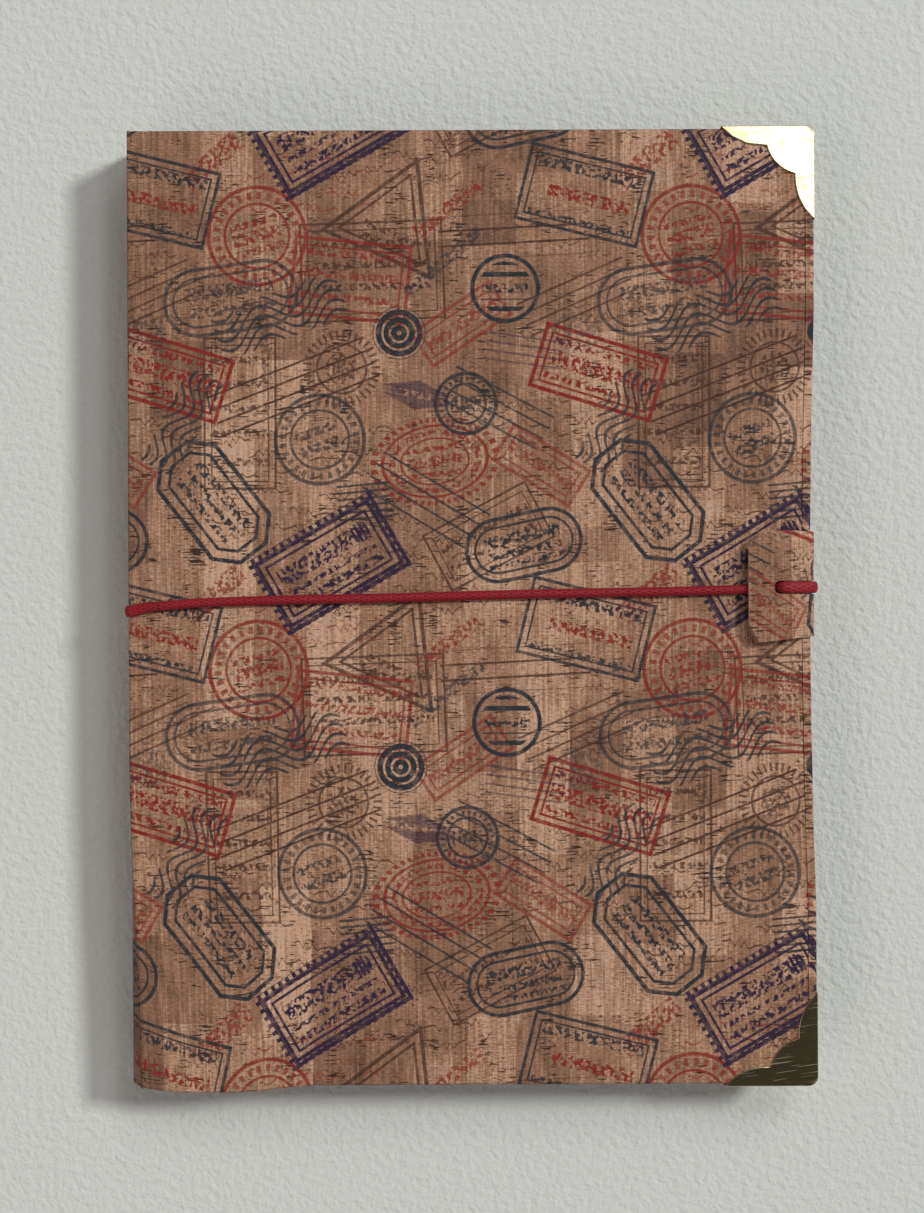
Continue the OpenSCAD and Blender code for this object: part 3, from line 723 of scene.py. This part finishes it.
def makeCoverWrap(front):
    # one cover's cork: a skin over the board, turned in on three sides and open at the fold
    side = "front" if front else "back"
    low = album["underTop"] if front else album["bottom"]
    high = album["top"] if front else album["overBottom"]
    fold, fore, half = album["fold"], album["fore"], album["half"]
    outer, inner, outward = (high, low, 1) if front else (low, high, -1)
    reach = wrap["turnIn"]

    def pasted(x, y, z):
        lift = outward * ripple(x, y) if abs(z - outer) < 0.05 else 0
        return settle(x, y, z + lift)

    piece = addBox(side + "CoverCork", (fold, -half, low), (fore, half, high))
    pick(piece, "EDGE", lambda a, b: a.x > fore - 1 and b.x > fore - 1 and abs(a.y - b.y) < 1)
    bpy.ops.mesh.bevel(offset=wrap["corner"] * mm, segments=5, affect="EDGES")
    pick(piece, "FACE", lambda middle, normal: normal.x < -0.9)
    bpy.ops.mesh.delete(type="FACE")
    pick(piece, "EDGE", lambda a, b: abs(a.z - b.z) < 0.01 and not (a.x < fold + 0.1 and b.x < fold + 0.1))
    bpy.ops.mesh.bevel(offset=wrap["edge"] * mm, segments=4, affect="EDGES")
    bpy.ops.mesh.select_mode(type="FACE")
    cutAt(0, [fore - reach] + steps(fold, fore, wrap["step"]))
    cutAt(1, [reach - half, half - reach] + steps(-half, half, wrap["step"]))
    if front:
        cutAt(1, grooveCuts)
    pick(piece, "FACE", lambda middle, normal:
         abs(middle.z - inner) < 0.05 and middle.x < fore - reach and abs(middle.y) < half - reach)
    bpy.ops.mesh.delete(type="FACE")
    bpy.ops.mesh.select_all(action="SELECT")
    bpy.ops.mesh.remove_doubles(threshold=wrap["merge"] * mm)
    bpy.ops.mesh.normals_make_consistent(inside=False)
    printSheet(piece, lambda x, y, z: unroll(x, y, z, front))
    if front:
        moveEach(piece, pressed)
    else:
        moveEach(piece, lambda x, y, z: (x, y, z + lipDent(x, y) if abs(z - outer) < 0.05 else z))
    moveEach(piece, pasted)
    applied(piece, "SOLIDIFY", thickness=wrap["skin"] * mm, offset=-1)
    smoothFaces(piece, 40)
    stands(piece, side + "_cork", "printed_cork", printedCork)
    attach(piece, side + "_cover")
    print(side, "cover cork", len(piece.data.polygons), "faces")


for front in (True, False):
    makeCoverWrap(front)


spineLook = {
    "short": 0.72,           # how far it stops short of the covers' faces, to clear them when open, mm
    "edge": 0.6,             # rounding of its head and tail
    "step": 1.5,
    "hole": 1.25,            # radius of the hole for the elastic
    "cap": 0.65,             # thickness at head and tail, where it is turned in
    "turnIn": 8,
    "under": 0.3,            # thickness of the turned-in strip
}


def makeSpineWrap():
    # the cork on the spine board, with its turned-in ends and the hole for the elastic
    spine, fold, half = album["spine"], album["fold"], album["half"]
    low, high = album["bottom"] + spineLook["short"], album["top"] - spineLook["short"]
    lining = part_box("spine_lining")[0][0] / mm
    boardLow, boardHigh = (corner[2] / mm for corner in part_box("spine_board"))
    piece = addBox("spineCork", (spine, -half, low), (fold, half, high))
    pick(piece, "EDGE", lambda a, b:
         a.x < spine + 0.1 and b.x < spine + 0.1 and abs(abs(a.y) - half) < 0.1 and abs(a.y - b.y) < 0.1)
    bpy.ops.mesh.bevel(offset=spineLook["edge"] * mm, segments=4, affect="EDGES")
    bpy.ops.mesh.select_mode(type="FACE")
    cutAt(1, steps(-half, half, wrap["step"]) + grooveCuts)
    cutAt(2, steps(low, high, spineLook["step"]))
    anchor = [(a + b) / 2 for a, b in zip(*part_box("spine_anchor"))]
    clearSelection()
    bpy.ops.mesh.primitive_cylinder_add(
        vertices=40, radius=spineLook["hole"] * mm, depth=6 * mm,
        location=(spine * mm, anchor[1], anchor[2]), rotation=(0, math.pi / 2, 0))
    cutter = startPiece("cordHoleCutter")
    applied(piece, "BOOLEAN", operation="DIFFERENCE", object=cutter, solver="EXACT")
    bpy.data.objects.remove(cutter)
    for end in (-1, 1):
        ends = []
        for name, start, reach in (("cap", fold, spineLook["cap"]), ("strip", lining, spineLook["turnIn"])):
            near, far = sorted((end * half, end * (half - reach)))
            stop = lining + spineLook["under"]
            ends.append(addBox(name, (start, near, boardLow), (stop, far, boardHigh)))
        chosen(piece, *ends)
        bpy.ops.object.join()
    printSheet(piece, lambda x, y, z: unroll(x, y, z, True))
    moveEach(piece, pressed)
    moveEach(piece, settle)
    smoothFaces(piece, 35)
    stands(piece, "spine_cork", "printed_cork", printedCork)
    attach(piece, "spine")


def makeFold(front):
    # the quarter round of cork along one hinge line
    side = "front" if front else "back"
    spine, fold, half = album["spine"], album["fold"], album["half"]
    low = album["top"] - wrap["sheet"] if front else album["bottom"]
    high = low + wrap["sheet"]
    outer, inner = (high, low) if front else (low, high)
    piece = addBox(side + "FoldCork", (spine, -half, low), (fold, half, high))
    pick(piece, "EDGE", lambda a, b:
         all(abs(end.x - spine) < 0.01 and abs(end.z - outer) < 0.01 for end in (a, b)))
    bpy.ops.mesh.bevel(offset=wrap["foldRound"] * mm, segments=6, affect="EDGES")
    cutAt(1, steps(-half, half, wrap["step"]) + (grooveCuts if front else []))
    printSheet(piece, lambda x, y, z: unroll(x, y, z, front))
    if front:
        moveEach(piece, pressed)
    moveEach(piece, settle)
    smoothFaces(piece, 50)
    stands(piece, side + "_fold_cork", "printed_cork", printedCork)
    outer * mm
    inner * mm
    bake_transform(piece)


makeSpineWrap()
for front in (True, False):
    makeFold(front)
print("spine cork and folds made")


def workedCopy(node, name):
    # a merged copy of a CAD node's own shape, to be worn, softened or drawn in, left in edit mode
    copy = bpy.data.objects.new(name, nodes[node].data.copy())
    copy.data.name = name
    bpy.context.scene.collection.objects.link(copy)
    chosen(copy)
    bpy.ops.object.mode_set(mode="EDIT")
    bpy.ops.mesh.select_all(action="SELECT")
    bpy.ops.mesh.remove_doubles(threshold=0.000005)
    bpy.ops.mesh.dissolve_limited(angle_limit=math.radians(0.5))
    return copy


worn = {
    "step": 9,               # spacing of the points that carry the wear, mm
    "near": 20,              # a band at the fore-edge has them closer
    "nearStep": 3,
    "flat": 40,              # and this much of the layer at the fore-edge stays flat
}


def makeWornLayer(node, name, material, slot):
    # a flat layer of the front cover, bent with the knocked tail of the spine
    fold, fore, half = album["fold"], album["fore"], album["half"]
    piece = workedCopy(node, name)
    cutAt(0, steps(fold, fore, worn["step"]) + steps(fore - worn["near"], fore, worn["nearStep"]))
    cutAt(1, steps(-half, half, worn["step"]))
    moveEach(piece, lambda x, y, z: settle(x, y, z) if x < fore - worn["flat"] else (x, y, z))
    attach(piece, "front_cover")
    stands(piece, node, slot, material)


def turned(wire, degrees):
    if not degrees:
        return wire
    settings = {"rotation_type": "Z_AXIS"}
    return wire.node("ShaderNodeVectorRotate", settings, {"Vector": wire, "Angle": math.radians(degrees)})


def fibres(wire, along, across, turn=0):
    # noise drawn out into strands, in mm
    return turned(wire, turn).scaled(1 / along, 1 / across, 1 / across).noise(1.0, 2.0, 0.6, "3D")


def woven(wire, pitch, axes=(0, 1)):
    # over and under threads: the height of a plain weave, from 0 to 1
    parts = wire.parts()
    first, second = parts[axes[0]], parts[axes[1]]
    turn = math.pi / pitch
    over = (first * turn).sine() * (second * turn).sine()
    ribs = abs((first * turn).math("COSINE")).top(abs((second * turn).math("COSINE")))
    return (over * 0.25 + 0.5) * 0.5 + ribs * 0.5


def boardPattern(wire):
    pulp = fibres(wire, 2.2, 0.5) + fibres(wire, 2.0, 0.6, 70)
    flecks = wire.noise(3.1, 1.0, 0.5, "3D").ramp(0.70, 0.76)
    share = (pulp - 0.5).math("MULTIPLY_ADD", 0.9, 0.05, clamp=True)
    colour = share.blend((0.28, 0.265, 0.24, 1), (0.43, 0.41, 0.37, 1))
    return {"Base Color": (flecks * 0.6).blend(colour, (0.13, 0.14, 0.17, 1))}, pulp


greyBoard = surface("greyBoard", boardPattern, 0.5, 0.00008, {
    "Roughness": 0.9, "Specular IOR Level": 0.25})


def paperPattern(wire):
    # laid lines, clouds, hairs and brown spots of age
    laid = (wire.parts()[1] * (math.tau / 1.1)).sine()
    cloud = wire.noise(0.05, 3.0, 0.55, "3D")
    hairs = fibres(wire, 3.0, 0.35, 25).ramp(0.62, 0.72)
    spots = wire.noise(0.23, 1.0, 0.5, "3D").ramp(0.74, 0.79)
    colour = cloud.ramp(0.3, 0.7).blend((0.60, 0.52, 0.39, 1), (0.74, 0.68, 0.56, 1))
    colour = (hairs * 0.25).blend(colour, (0.46, 0.38, 0.27, 1))
    colour = (spots * 0.4).blend(colour, (0.42, 0.27, 0.14, 1))
    return {"Base Color": colour}, laid * 0.25 + cloud + hairs * 0.3


liningPaper = surface("liningPaper", paperPattern, 0.35, 0.00006, {
    "Roughness": 0.8, "Specular IOR Level": 0.3})


def brassPattern(wire):
    # polished sheet brass that years of handling have scratched and dulled
    swept = turned(wire, -8)
    hairlines = swept.scaled(0.16, 7.5, 1).noise(1.0, 2.0, 0.6, "3D")
    scratches = swept.scaled(0.1, 3.6, 0.6).noise(1.0, 1.0, 0.5, "3D").ramp(0.66, 0.72)
    crossed = fibres(wire, 7.0, 0.16, 35).ramp(0.70, 0.77)
    dull = wire.noise(0.35, 3.0, 0.6, "3D")
    pits = wire.noise(2.2, 1.0, 0.5, "3D").ramp(0.72, 0.8)
    colour = dull.ramp(0.35, 0.7).blend((0.56, 0.47, 0.27, 1), (0.36, 0.30, 0.17, 1))
    colour = (scratches.top(crossed) * 0.4).blend(colour, (0.86, 0.80, 0.58, 1))
    colour = (pits * 0.5).blend(colour, (0.12, 0.10, 0.05, 1))
    roughness = 0.13 + dull * 0.12 + hairlines * 0.10 + scratches * 0.14
    height = hairlines * 0.35 + scratches * -0.6 + crossed * -0.4 + dull * 0.5
    return {"Base Color": colour, "Roughness": roughness}, height


cornerBrass = surface("cornerBrass", brassPattern, 0.25, 0.00003, {
    "Metallic": 1.0, "Specular IOR Level": 0.5})


def steelPattern(wire):
    brushed = wire.scaled(4.0, 0.5, 4.0).noise(1.0, 2.0, 0.6, "3D")
    colour = brushed.ramp(0.25, 0.75).blend((0.42, 0.42, 0.43, 1), (0.60, 0.60, 0.60, 1))
    return {"Base Color": colour, "Roughness": brushed * 0.25 + 0.25}, brushed


crimpSteel = surface("crimpSteel", steelPattern, 0.3, 0.00003, {"Metallic": 1.0})


def spineClothPattern(wire):
    weave = woven(wire, 0.8, (1, 2))
    slub = wire.scaled(0.3, 0.12, 1.4).noise(1.0, 1.0, 0.5, "3D")
    # darker where the weave is low: painted shade between the threads, with the slub's real unevenness of
    # the yarn
    colour = (weave * 0.8 + slub * 0.4).ramp(0.35, 1.0).blend((0.30, 0.27, 0.21, 1), (0.68, 0.63, 0.52, 1))
    return {"Base Color": colour}, weave + slub * 0.4


spineCloth = surface("spineCloth", spineClothPattern, 0.8, 0.0002, {
    "Roughness": 0.9, "Specular IOR Level": 0.2})


def silkPattern(wire):
    # two colours of silk wound over a core, darkened in the grooves between its threads as painted shade
    _, y, z = wire.parts()
    threads = ((z + y * 0.15) / 0.32).fract()
    ridge = abs(threads - 0.5) * -2.0 + 1.0
    bands = ((z + y * 0.15) / 2.56).fract().under(0.5)
    colour = bands.blend((0.36, 0.045, 0.04, 1), (0.62, 0.56, 0.43, 1))
    # painted shade: the grooves between the threads drop to 0.3 of the silk's colour
    shade = ridge.ramp(-0.4, 0.8).blend((0.3, 0.3, 0.3, 1), (1, 1, 1, 1))
    return {"Base Color": colour.times(shade)}, ridge


headbandSilk = surface("headbandSilk", silkPattern, 0.8, 0.00015, {
    "Roughness": 0.5, "Sheen Weight": 0.25, "Sheen Roughness": 0.4})


def threadPattern(wire):
    x, y, z = wire.parts()
    twist = ((z + x * 1.2 + y * 1.2) / 0.45).fract()
    ridge = abs(twist - 0.5) * -2.0 + 1.0
    # painted shade: the thread is darker in the grooves of its twist and lighter on the crests
    return {"Base Color": ridge.blend((0.40, 0.35, 0.26, 1), (0.78, 0.73, 0.62, 1))}, ridge


waxedThread = surface("waxedThread", threadPattern, 0.7, 0.00008, {"Roughness": 0.45})


def elasticPattern(sheet):
    # braided elastic: fine ribs that cross at a slant, drawn out along the cord, with painted shade
    # darkening the grooves between the ribs
    around, along = math.tau * 9 / 1000, math.tau / 2.4
    u, v, _ = sheet.parts()
    first = (u * around + v * along).sine()
    second = (u * around - v * along).sine()
    ribs = first.top(second) * 0.5 + 0.5
    fuzz = startWire(sheet.tree, "Object").noise(1.6, 3.0, 0.65, "3D")
    share = (ribs * 0.8 + fuzz * 0.5).ramp(0.35, 1.15)
    # painted shade in the braid's grooves from the ribs, and the fuzz's real uneven tone
    colour = share.blend((0.085, 0.002, 0.006, 1), (0.325, 0.006, 0.015, 1))
    return {"Base Color": colour}, ribs + fuzz * 0.3


redElastic = surface("redElastic", elasticPattern, 0.6, 0.00012, {
    "Roughness": 0.6, "Specular IOR Level": 0.3, "Sheen Weight": 0.1, "Sheen Roughness": 0.35,
    "Sheen Tint": (1.0, 0.55, 0.6, 1)}, "braid")


def cardPattern(wire):
    pulp = fibres(wire, 1.8, 0.4, 15) + fibres(wire, 1.6, 0.4, 80)
    cloud = wire.noise(0.06, 2.0, 0.5, "3D")
    share = (pulp * 0.5 + cloud * 0.4).ramp(0.5, 1.0)
    return {"Base Color": share.blend((0.010, 0.010, 0.011, 1), (0.034, 0.034, 0.035, 1))}, pulp


blackCard = surface("blackCard", cardPattern, 0.4, 0.00006, {"Roughness": 0.86, "Specular IOR Level": 0.3})


def hingePattern(wire):
    weave = woven(wire, 0.45)
    # darker where the weave is low: painted shade between the threads of the cloth
    colour = weave.ramp(0.2, 1.0).blend((0.006, 0.006, 0.007, 1), (0.045, 0.045, 0.048, 1))
    return {"Base Color": colour}, weave


hingeCloth = surface("hingeCloth", hingePattern, 0.7, 0.00012, {
    "Roughness": 0.82, "Specular IOR Level": 0.3})

strips = {
    "rows": 6,               # to a leaf
    "edge": 3.0,             # margin at the leaf's edge, mm
    "weld": 1.1,             # width of the welded foot
}


def filmPattern(wire):
    # clear strips, milky along the weld at the foot of each
    lowEdge = -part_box("leaf_1_card")[1][1] / mm
    pitch = -2 * lowEdge / strips["rows"]
    place = ((wire.parts()[1] - (lowEdge + strips["edge"])) / pitch).fract() * pitch
    weld = place.under(strips["weld"])
    slack = wire.scaled(0.02, 0.09, 0.2).noise(1.0, 2.0, 0.5, "3D")
    scuffs = fibres(wire, 9.0, 0.25, 12).ramp(0.69, 0.75)
    alpha = (weld * 0.45 + scuffs * 0.18 + slack * 0.06) + 0.10
    return {"Alpha": alpha, "Roughness": weld * 0.3 + scuffs * 0.25 + 0.1}, slack * 3.0 + weld * 0.4


clearFilm = surface("clearFilm", filmPattern, 0.4, 0.0003, {
    "Base Color": (0.82, 0.86, 0.88, 1), "Roughness": 0.12, "Coat Weight": 0.3, "IOR": 1.5})


def glassinePattern(wire):
    cloud = wire.noise(0.35, 4.0, 0.65, "3D")
    creases = abs(wire.scaled(0.03, 0.05, 0.1).noise(1.0, 3.0, 0.6, "3D") - 0.5).ramp(0.009, 0.0)
    colour = cloud.ramp(0.3, 0.7).blend((0.70, 0.70, 0.645, 1), (0.77, 0.77, 0.72, 1))
    return {"Base Color": colour, "Alpha": cloud * 0.10 + creases * 0.05 + 0.17}, creases + cloud * 0.4


glassine = surface("glassine", glassinePattern, 0.35, 0.00012, {
    "Roughness": 0.38, "Specular IOR Level": 0.4})


def cutCorkPattern(wire):
    # the raw edge of the doubled cork, with the glue line between its plies
    grain = wire.noise(2.6, 2.0, 0.6, "3D")
    glue = (wire.parts()[2] - (tab["top"] - tab["thick"] / 2)).line(0.12, 0.08)
    colour = grain.ramp(0.3, 0.7).blend((0.40, 0.27, 0.19, 1), (0.62, 0.47, 0.36, 1))
    return {"Base Color": (glue * 0.6).blend(colour, (0.16, 0.09, 0.06, 1))}, grain - glue * 0.6


cutCork = surface("cutCork", cutCorkPattern, 0.6, 0.0001, {
    "Roughness": 0.85, "Specular IOR Level": 0.25})


def dress(node, material):
    # a better finish for a CAD node that stays as it is
    holder = nodes[node]
    if not holder.material_slots:
        holder.data.materials.append(None)
    for slot in holder.material_slots:
        slot.link = "OBJECT"
        slot.material = material


for node, material in {
    "back_board": greyBoard, "spine_board": greyBoard, "back_infill": greyBoard,
    "back_pastedown": liningPaper, "spine_lining": spineCloth, "headband_head": headbandSilk,
    "headband_tail": headbandSilk, "sewing_thread": waxedThread, "spine_anchor": crimpSteel,
    "tab_anchor": crimpSteel,
}.items():
    dress(node, material)
for leaf in range(1, 9):
    parts = {"card": blackCard, "hinge": hingeCloth, "strips": clearFilm, "interleaf": glassine}
    for kind, material in parts.items():
        dress("leaf_%d_%s" % (leaf, kind), material)
makeWornLayer("front_board", "frontBoard", greyBoard, "greyboard")
makeWornLayer("front_infill", "frontInfill", greyBoard, "greyboard")
makeWornLayer("front_pastedown", "frontLining", liningPaper, "lining_paper")
print("boards, linings and leaves dressed")


brass = {
    "rim": 0.2,              # rounding of the pressed rim and of the scalloped edge, mm
    "bend": 50,              # edges sharper than this are rounded, degrees
}


def makeCorner(front, tail):
    # one pressed brass corner, softened where the sheet was bent and where it was cut
    cover, end = ("front" if front else "back"), ("tail" if tail else "head")
    piece = workedCopy(cover + "_corner_" + end, cover + end.title() + "Corner")
    bend = math.radians(brass["bend"])
    applied(piece, "BEVEL", width=brass["rim"] * mm, segments=3, limit_method="ANGLE", angle_limit=bend)
    applied(piece, "TRIANGULATE", min_vertices=5)
    smoothFaces(piece, 40)
    applied(piece, "WEIGHTED_NORMAL", keep_sharp=True, weight=50)
    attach(piece, cover + "_cover")
    stands(piece, cover + "_corner_" + end, "corner_brass", cornerBrass)


for front in (True, False):
    for tail in (True, False):
        makeCorner(front, tail)
print("brass corners made")


def tabUnroll(x, y, z):
    # where a point of the tab lay on the flat printed sheet, unrolled from its flap round to its lip
    if x > tab["web"] - tab["webZone"]:
        u = x + max(0.0, tab["top"] - tab["webTop"] - z)
    elif z > album["top"]:
        u = x
    else:
        u = 2 * tab["web"] - x + tab["top"]
    return u + tab["shift"][0], y + tab["shift"][1]


def makeTab():
    # the hook tab: doubled cork folded round the fore-edge, its cut edges left raw
    piece = workedCopy("pull_tab", "hookTab")
    bend = math.radians(tab["bend"])
    applied(piece, "BEVEL", width=tab["rim"] * mm, segments=2, limit_method="ANGLE", angle_limit=bend)
    printSheet(piece, tabUnroll)
    smoothFaces(piece, 30)
    stands(piece, "pull_tab", "printed_cork", printedCork, cutCork)
    for face in piece.data.polygons:
        middle, normal = face.center / mm, face.normal
        onFlap = middle.z > album["top"] + tab["flapRise"] and middle.x < album["fore"] - tab["flapBack"]
        if abs(normal.y) > 0.3 or (abs(normal.z) < 0.95 and onFlap):
            face.material_index = 1
    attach(piece, "closure")


def arcPoints(x, z, radius, start, end, count, y, flat):
    # points along an arc about x and z, from one angle in degrees to another
    angles = [math.radians(start + (end - start) * n / count) for n in range(count + 1)]
    return [(x + radius * math.cos(angle), y, z + radius * math.sin(angle), flat) for angle in angles]


def drawnTo(name, share):
    # the elastic's height or width where it is drawn flat by a share
    return elastic["round"] + (elastic[name] - elastic["round"]) * share


def elasticRoute():
    # from the bar in the spine to the bar in the tab, in three lengths: x, y and z in mm, and how flat the
    # elastic is drawn there
    spine, fold, fore, top = album["spine"], album["fold"], album["fore"], album["top"]
    middle = (top + album["bottom"]) / 2
    yA, yB = elastic["spineY"], elastic["tabY"]
    bent, hole = elastic["turnFlat"], tab["hole"]
    lie = elastic["round"] / 2 + elastic["lie"]
    flatLie = elastic["flatHigh"] / 2 + elastic["lie"]
    spineFloor, webFloor = wrap["sheet"] - elastic["bite"], tab["thick"] - elastic["bite"]
    web = tab["web"] - tab["thick"]
    spineLie, webLie = fold - spineFloor - flatLie, web + webFloor + flatLie
    overFlap = tab["top"] - elastic["bite"] + flatLie
    turn = drawnTo("flatHigh", bent) / 2 + 0.1
    leaving, diving = (spine + 7, yA + 1.1, top + lie, 0.1), (hole - 2.5, yB, top + lie, 0.2)
    upSpine = [(fold + 0.55, yA, middle, bent)]
    upSpine += arcPoints(spineLie + turn, middle + turn, turn, 270, 180, 5, yA, bent)
    upSpine += [(spineLie, yA, middle + turn + 0.4, 0.9)]
    upSpine += [(spineLie, yA, height, 1) for height in (middle + 2.5, top - 4, top - 2)]
    upSpine += arcPoints(fold, top - wrap["sheet"], spineFloor + flatLie, 180, 90, 6, yA, 1)
    upSpine += [(spine + 2, yA + 0.3, top + 0.45, 0.9), (spine + 4, yA + 0.8, top + 0.75, 0.5), leaving]
    across = [leaving]
    for along, rise in ((16, 1.8), (30, 2.3), (60, 2.8)):
        across += [(spine + along, yA + rise, top + lie, 0)]
    across += [(spine + 90, yB - 1.3, top + lie, 0)]
    across += [(fore - back, yB - drop, top + lie, 0) for back, drop in ((30, 0.8), (16, 0.4))]
    across += [diving]
    hooked = [diving]
    hooked += arcPoints(hole - turn, top + lie + turn, turn, 270, 360, 5, yB, bent)
    hooked += arcPoints(hole + turn, overFlap - turn, turn, 180, 90, 5, yB, bent)
    hooked += [(hole + 1.5, yB, overFlap, 1), (hole + 2.1, yB, overFlap, 1)]
    hooked += arcPoints(web, top + 0.05, webFloor + flatLie, 65, 0, 5, yB, 1)
    hooked += [(webLie, yB, middle + 2.5, 1), (webLie, yB, middle + turn + 0.4, 0.9)]
    hooked += arcPoints(webLie - turn, middle + turn, turn, 0, -90, 5, yB, bent)
    hooked += [(web, yB, middle, bent)]
    return upSpine, across, hooked


def eased(points, spacing):
    # a smooth run through the points, with more of them where they lie far apart
    run = []
    last = len(points) - 1
    for n in range(last):
        before, here = Vector(points[max(n - 1, 0)]), Vector(points[n])
        there, after = Vector(points[n + 1]), Vector(points[min(n + 2, last)])
        span = (there.xyz - here.xyz).length
        ahead = onward = there - here
        if n:
            ahead = (there - before) * 0.5 * min(1, span / max((here.xyz - before.xyz).length, 0.01))
        if n < last - 1:
            onward = (after - here) * 0.5 * min(1, span / max((after.xyz - there.xyz).length, 0.01))
        count = max(1, round(span / spacing))
        for step in range(count):
            t = step / count
            if span < elastic["short"]:
                run.append(here.lerp(there, t))
                continue
            leave = here * (2 * t ** 3 - 3 * t * t + 1) + ahead * (t ** 3 - 2 * t * t + t)
            run.append(leave + there * (3 * t * t - 2 * t ** 3) + onward * (t ** 3 - t * t))
    run.append(Vector(points[-1]))
    return run


def makeCordPiece(name, points, lead):
    # one length of the elastic, swept along its run with its own braid map
    run = eased(points, elastic["spacing"])
    sides = elastic["sides"]
    places, faces, lengths = [], [], [lead]
    for n, point in enumerate(run):
        ahead = (run[min(n + 1, len(run) - 1)].xyz - run[max(n - 1, 0)].xyz).normalized()
        up = Vector((0, 1, 0)).cross(ahead).normalized()
        side = ahead.cross(up).normalized()
        high, wide = drawnTo("flatHigh", point.w), drawnTo("flatWide", point.w)
        if n:
            lengths.append(lengths[-1] + (point.xyz - run[n - 1].xyz).length)
        for m in range(sides):
            angle = math.tau * m / sides
            rim = up * math.cos(angle) * high / 2
            places.append((point.xyz + rim + side * math.sin(angle) * wide / 2) * mm)
    for n in range(len(run) - 1):
        for m in range(sides):
            a, b = n * sides + m, n * sides + (m + 1) % sides
            faces.append((a, a + sides, b + sides, b))
    faces.append(tuple(range(sides)))
    faces.append(tuple((len(run) - 1) * sides + m for m in reversed(range(sides))))
    mesh = bpy.data.meshes.new(name)
    mesh.from_pydata(places, [], faces)
    layer = mesh.uv_layers.new(name="braid")
    for face in mesh.polygons:
        for corner, loop in enumerate(face.loop_indices):
            ring, m = divmod(mesh.loops[loop].vertex_index, sides)
            # where a ring closes, the map ends at its far side instead of starting again
            if len(face.vertices) == 4 and corner > 1 and m == 0:
                m = sides
            layer.data[loop].uv = (m / sides, lengths[ring] * mm)
    piece = bpy.data.objects.new(name, mesh)
    bpy.context.scene.collection.objects.link(piece)
    smoothFaces(piece, 60)
    stands(piece, "elastic_cord", "red_elastic", redElastic)
    return piece, lengths[-1]


makeTab()
startRun, acrossRun, hookedRun = elasticRoute()
cordStart, lead = makeCordPiece("cordAtSpine", startRun, 0)
cordAcross, lead = makeCordPiece("cordAcross", acrossRun, lead)
cordHooked, lead = makeCordPiece("cordHooked", hookedRun, lead)
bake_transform(cordStart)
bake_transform(cordAcross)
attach(cordHooked, "closure")
print("tab and elastic made,", round(lead, 1), "mm of elastic")


ground = {
    "size": 6,               # metres
    "below": 0.2 * mm,       # how far it lies under the album
    "bump": 0.6,
    "depth": 0.0011,
    "colour": (0.60, 0.615, 0.585, 1),
    "roughness": 0.85,
}


def floorPattern(wire):
    return {}, wire.noise(0.55, 3.0, 0.55, "3D")


paleFloor = surface("paleFloor", floorPattern, ground["bump"], ground["depth"], {
    "Base Color": ground["colour"], "Roughness": ground["roughness"]})
clearSelection()
bpy.ops.mesh.primitive_plane_add(size=ground["size"], location=(0, 0, -ground["below"]))
floor = startPiece("floor")
floor.data.materials.append(paleFloor)


def addLamp(name, kind, settings, place, aim):
    # a soft light that faces the album
    lamp = bpy.data.lights.new(name, kind)
    for key, value in settings.items():
        setattr(lamp, key, value)
    holder = bpy.data.objects.new(name, lamp)
    bpy.context.scene.collection.objects.link(holder)
    holder.location = place
    holder.rotation_euler = (Vector(aim) - Vector(place)).to_track_quat("-Z", "Y").to_euler()


studio = {
    "camera": (-2.04 * mm, 0.18 * mm, 500 * mm),
    "roll": -0.24,           # degrees
    "focal": 2128.8,         # pixels of a frame 924 wide
    "frame": 924,
    "sensor": 36,
    "sky": 0.42,
    "skyEdge": (0.80, 0.93),
    "skyAround": (0.645, 0.635, 0.635, 1),
    "skyOverhead": (0.040, 0.038, 0.032, 1),     # darker, so that level metal stays deep
}
# name, place and aim in metres, kind and settings
lamps = [
    ("keyLight", (0.86, 0.42, 1.0), (0, 0, 0), "SUN", {
        "energy": 1.94, "angle": math.radians(9), "color": (0.98, 1.0, 0.985)}),
    ("highLight", (0.35, 0.75, 1.0), (0, 0, 0), "SUN", {
        "energy": 0.45, "angle": math.radians(24), "color": (1.0, 0.995, 0.97)}),
    ("fillLight", (-0.75, -0.25, 1.0), (0, 0, 0), "SUN", {
        "energy": 0.22, "angle": math.radians(30), "color": (1.0, 0.9, 0.89)}),
    ("warmLight", (-0.40, -0.48, 0.6), (0, 0, 0), "AREA", {
        "shape": "SQUARE", "size": 0.35, "energy": 0.6, "color": (1.0, 0.82, 0.80)}),
    ("cornerLight", (0.178, 0.226, 0.6), (0.07, 0.09, 0), "AREA", {
        "shape": "SQUARE", "size": 0.10, "energy": 0.41, "color": (0.96, 0.975, 1.0)}),
]
for name, place, aim, kind, settings in lamps:
    addLamp(name, kind, settings, place, aim)
bpy.data.objects["warmLight"].visible_camera = False
world = bpy.data.worlds.new("softSky")
world.use_nodes = True
skyTree = world.node_tree
skyHeight = Wire(skyTree, skyTree.nodes.new("ShaderNodeTexCoord").outputs["Generated"]).parts()[2]
skyColour = skyHeight.ramp(*studio["skyEdge"]).blend(studio["skyAround"], studio["skyOverhead"])
skyTree.links.new(skyColour.socket, skyTree.nodes["Background"].inputs["Color"])
skyTree.nodes["Background"].inputs["Strength"].default_value = studio["sky"]
bpy.context.scene.world = world
lens = bpy.data.cameras.new("camera")
lens.sensor_fit = "HORIZONTAL"
lens.sensor_width = studio["sensor"]
lens.lens = studio["focal"] / studio["frame"] * studio["sensor"]
lens.clip_start = 0.01
camera = bpy.data.objects.new("camera", lens)
bpy.context.scene.collection.objects.link(camera)
camera.location = studio["camera"]
camera.rotation_euler = (0, 0, math.radians(studio["roll"]))
bpy.context.scene.camera = camera
bpy.context.scene.view_settings.view_transform = "Standard"

print("floor, lamps, sky and camera set")
closeEdit()
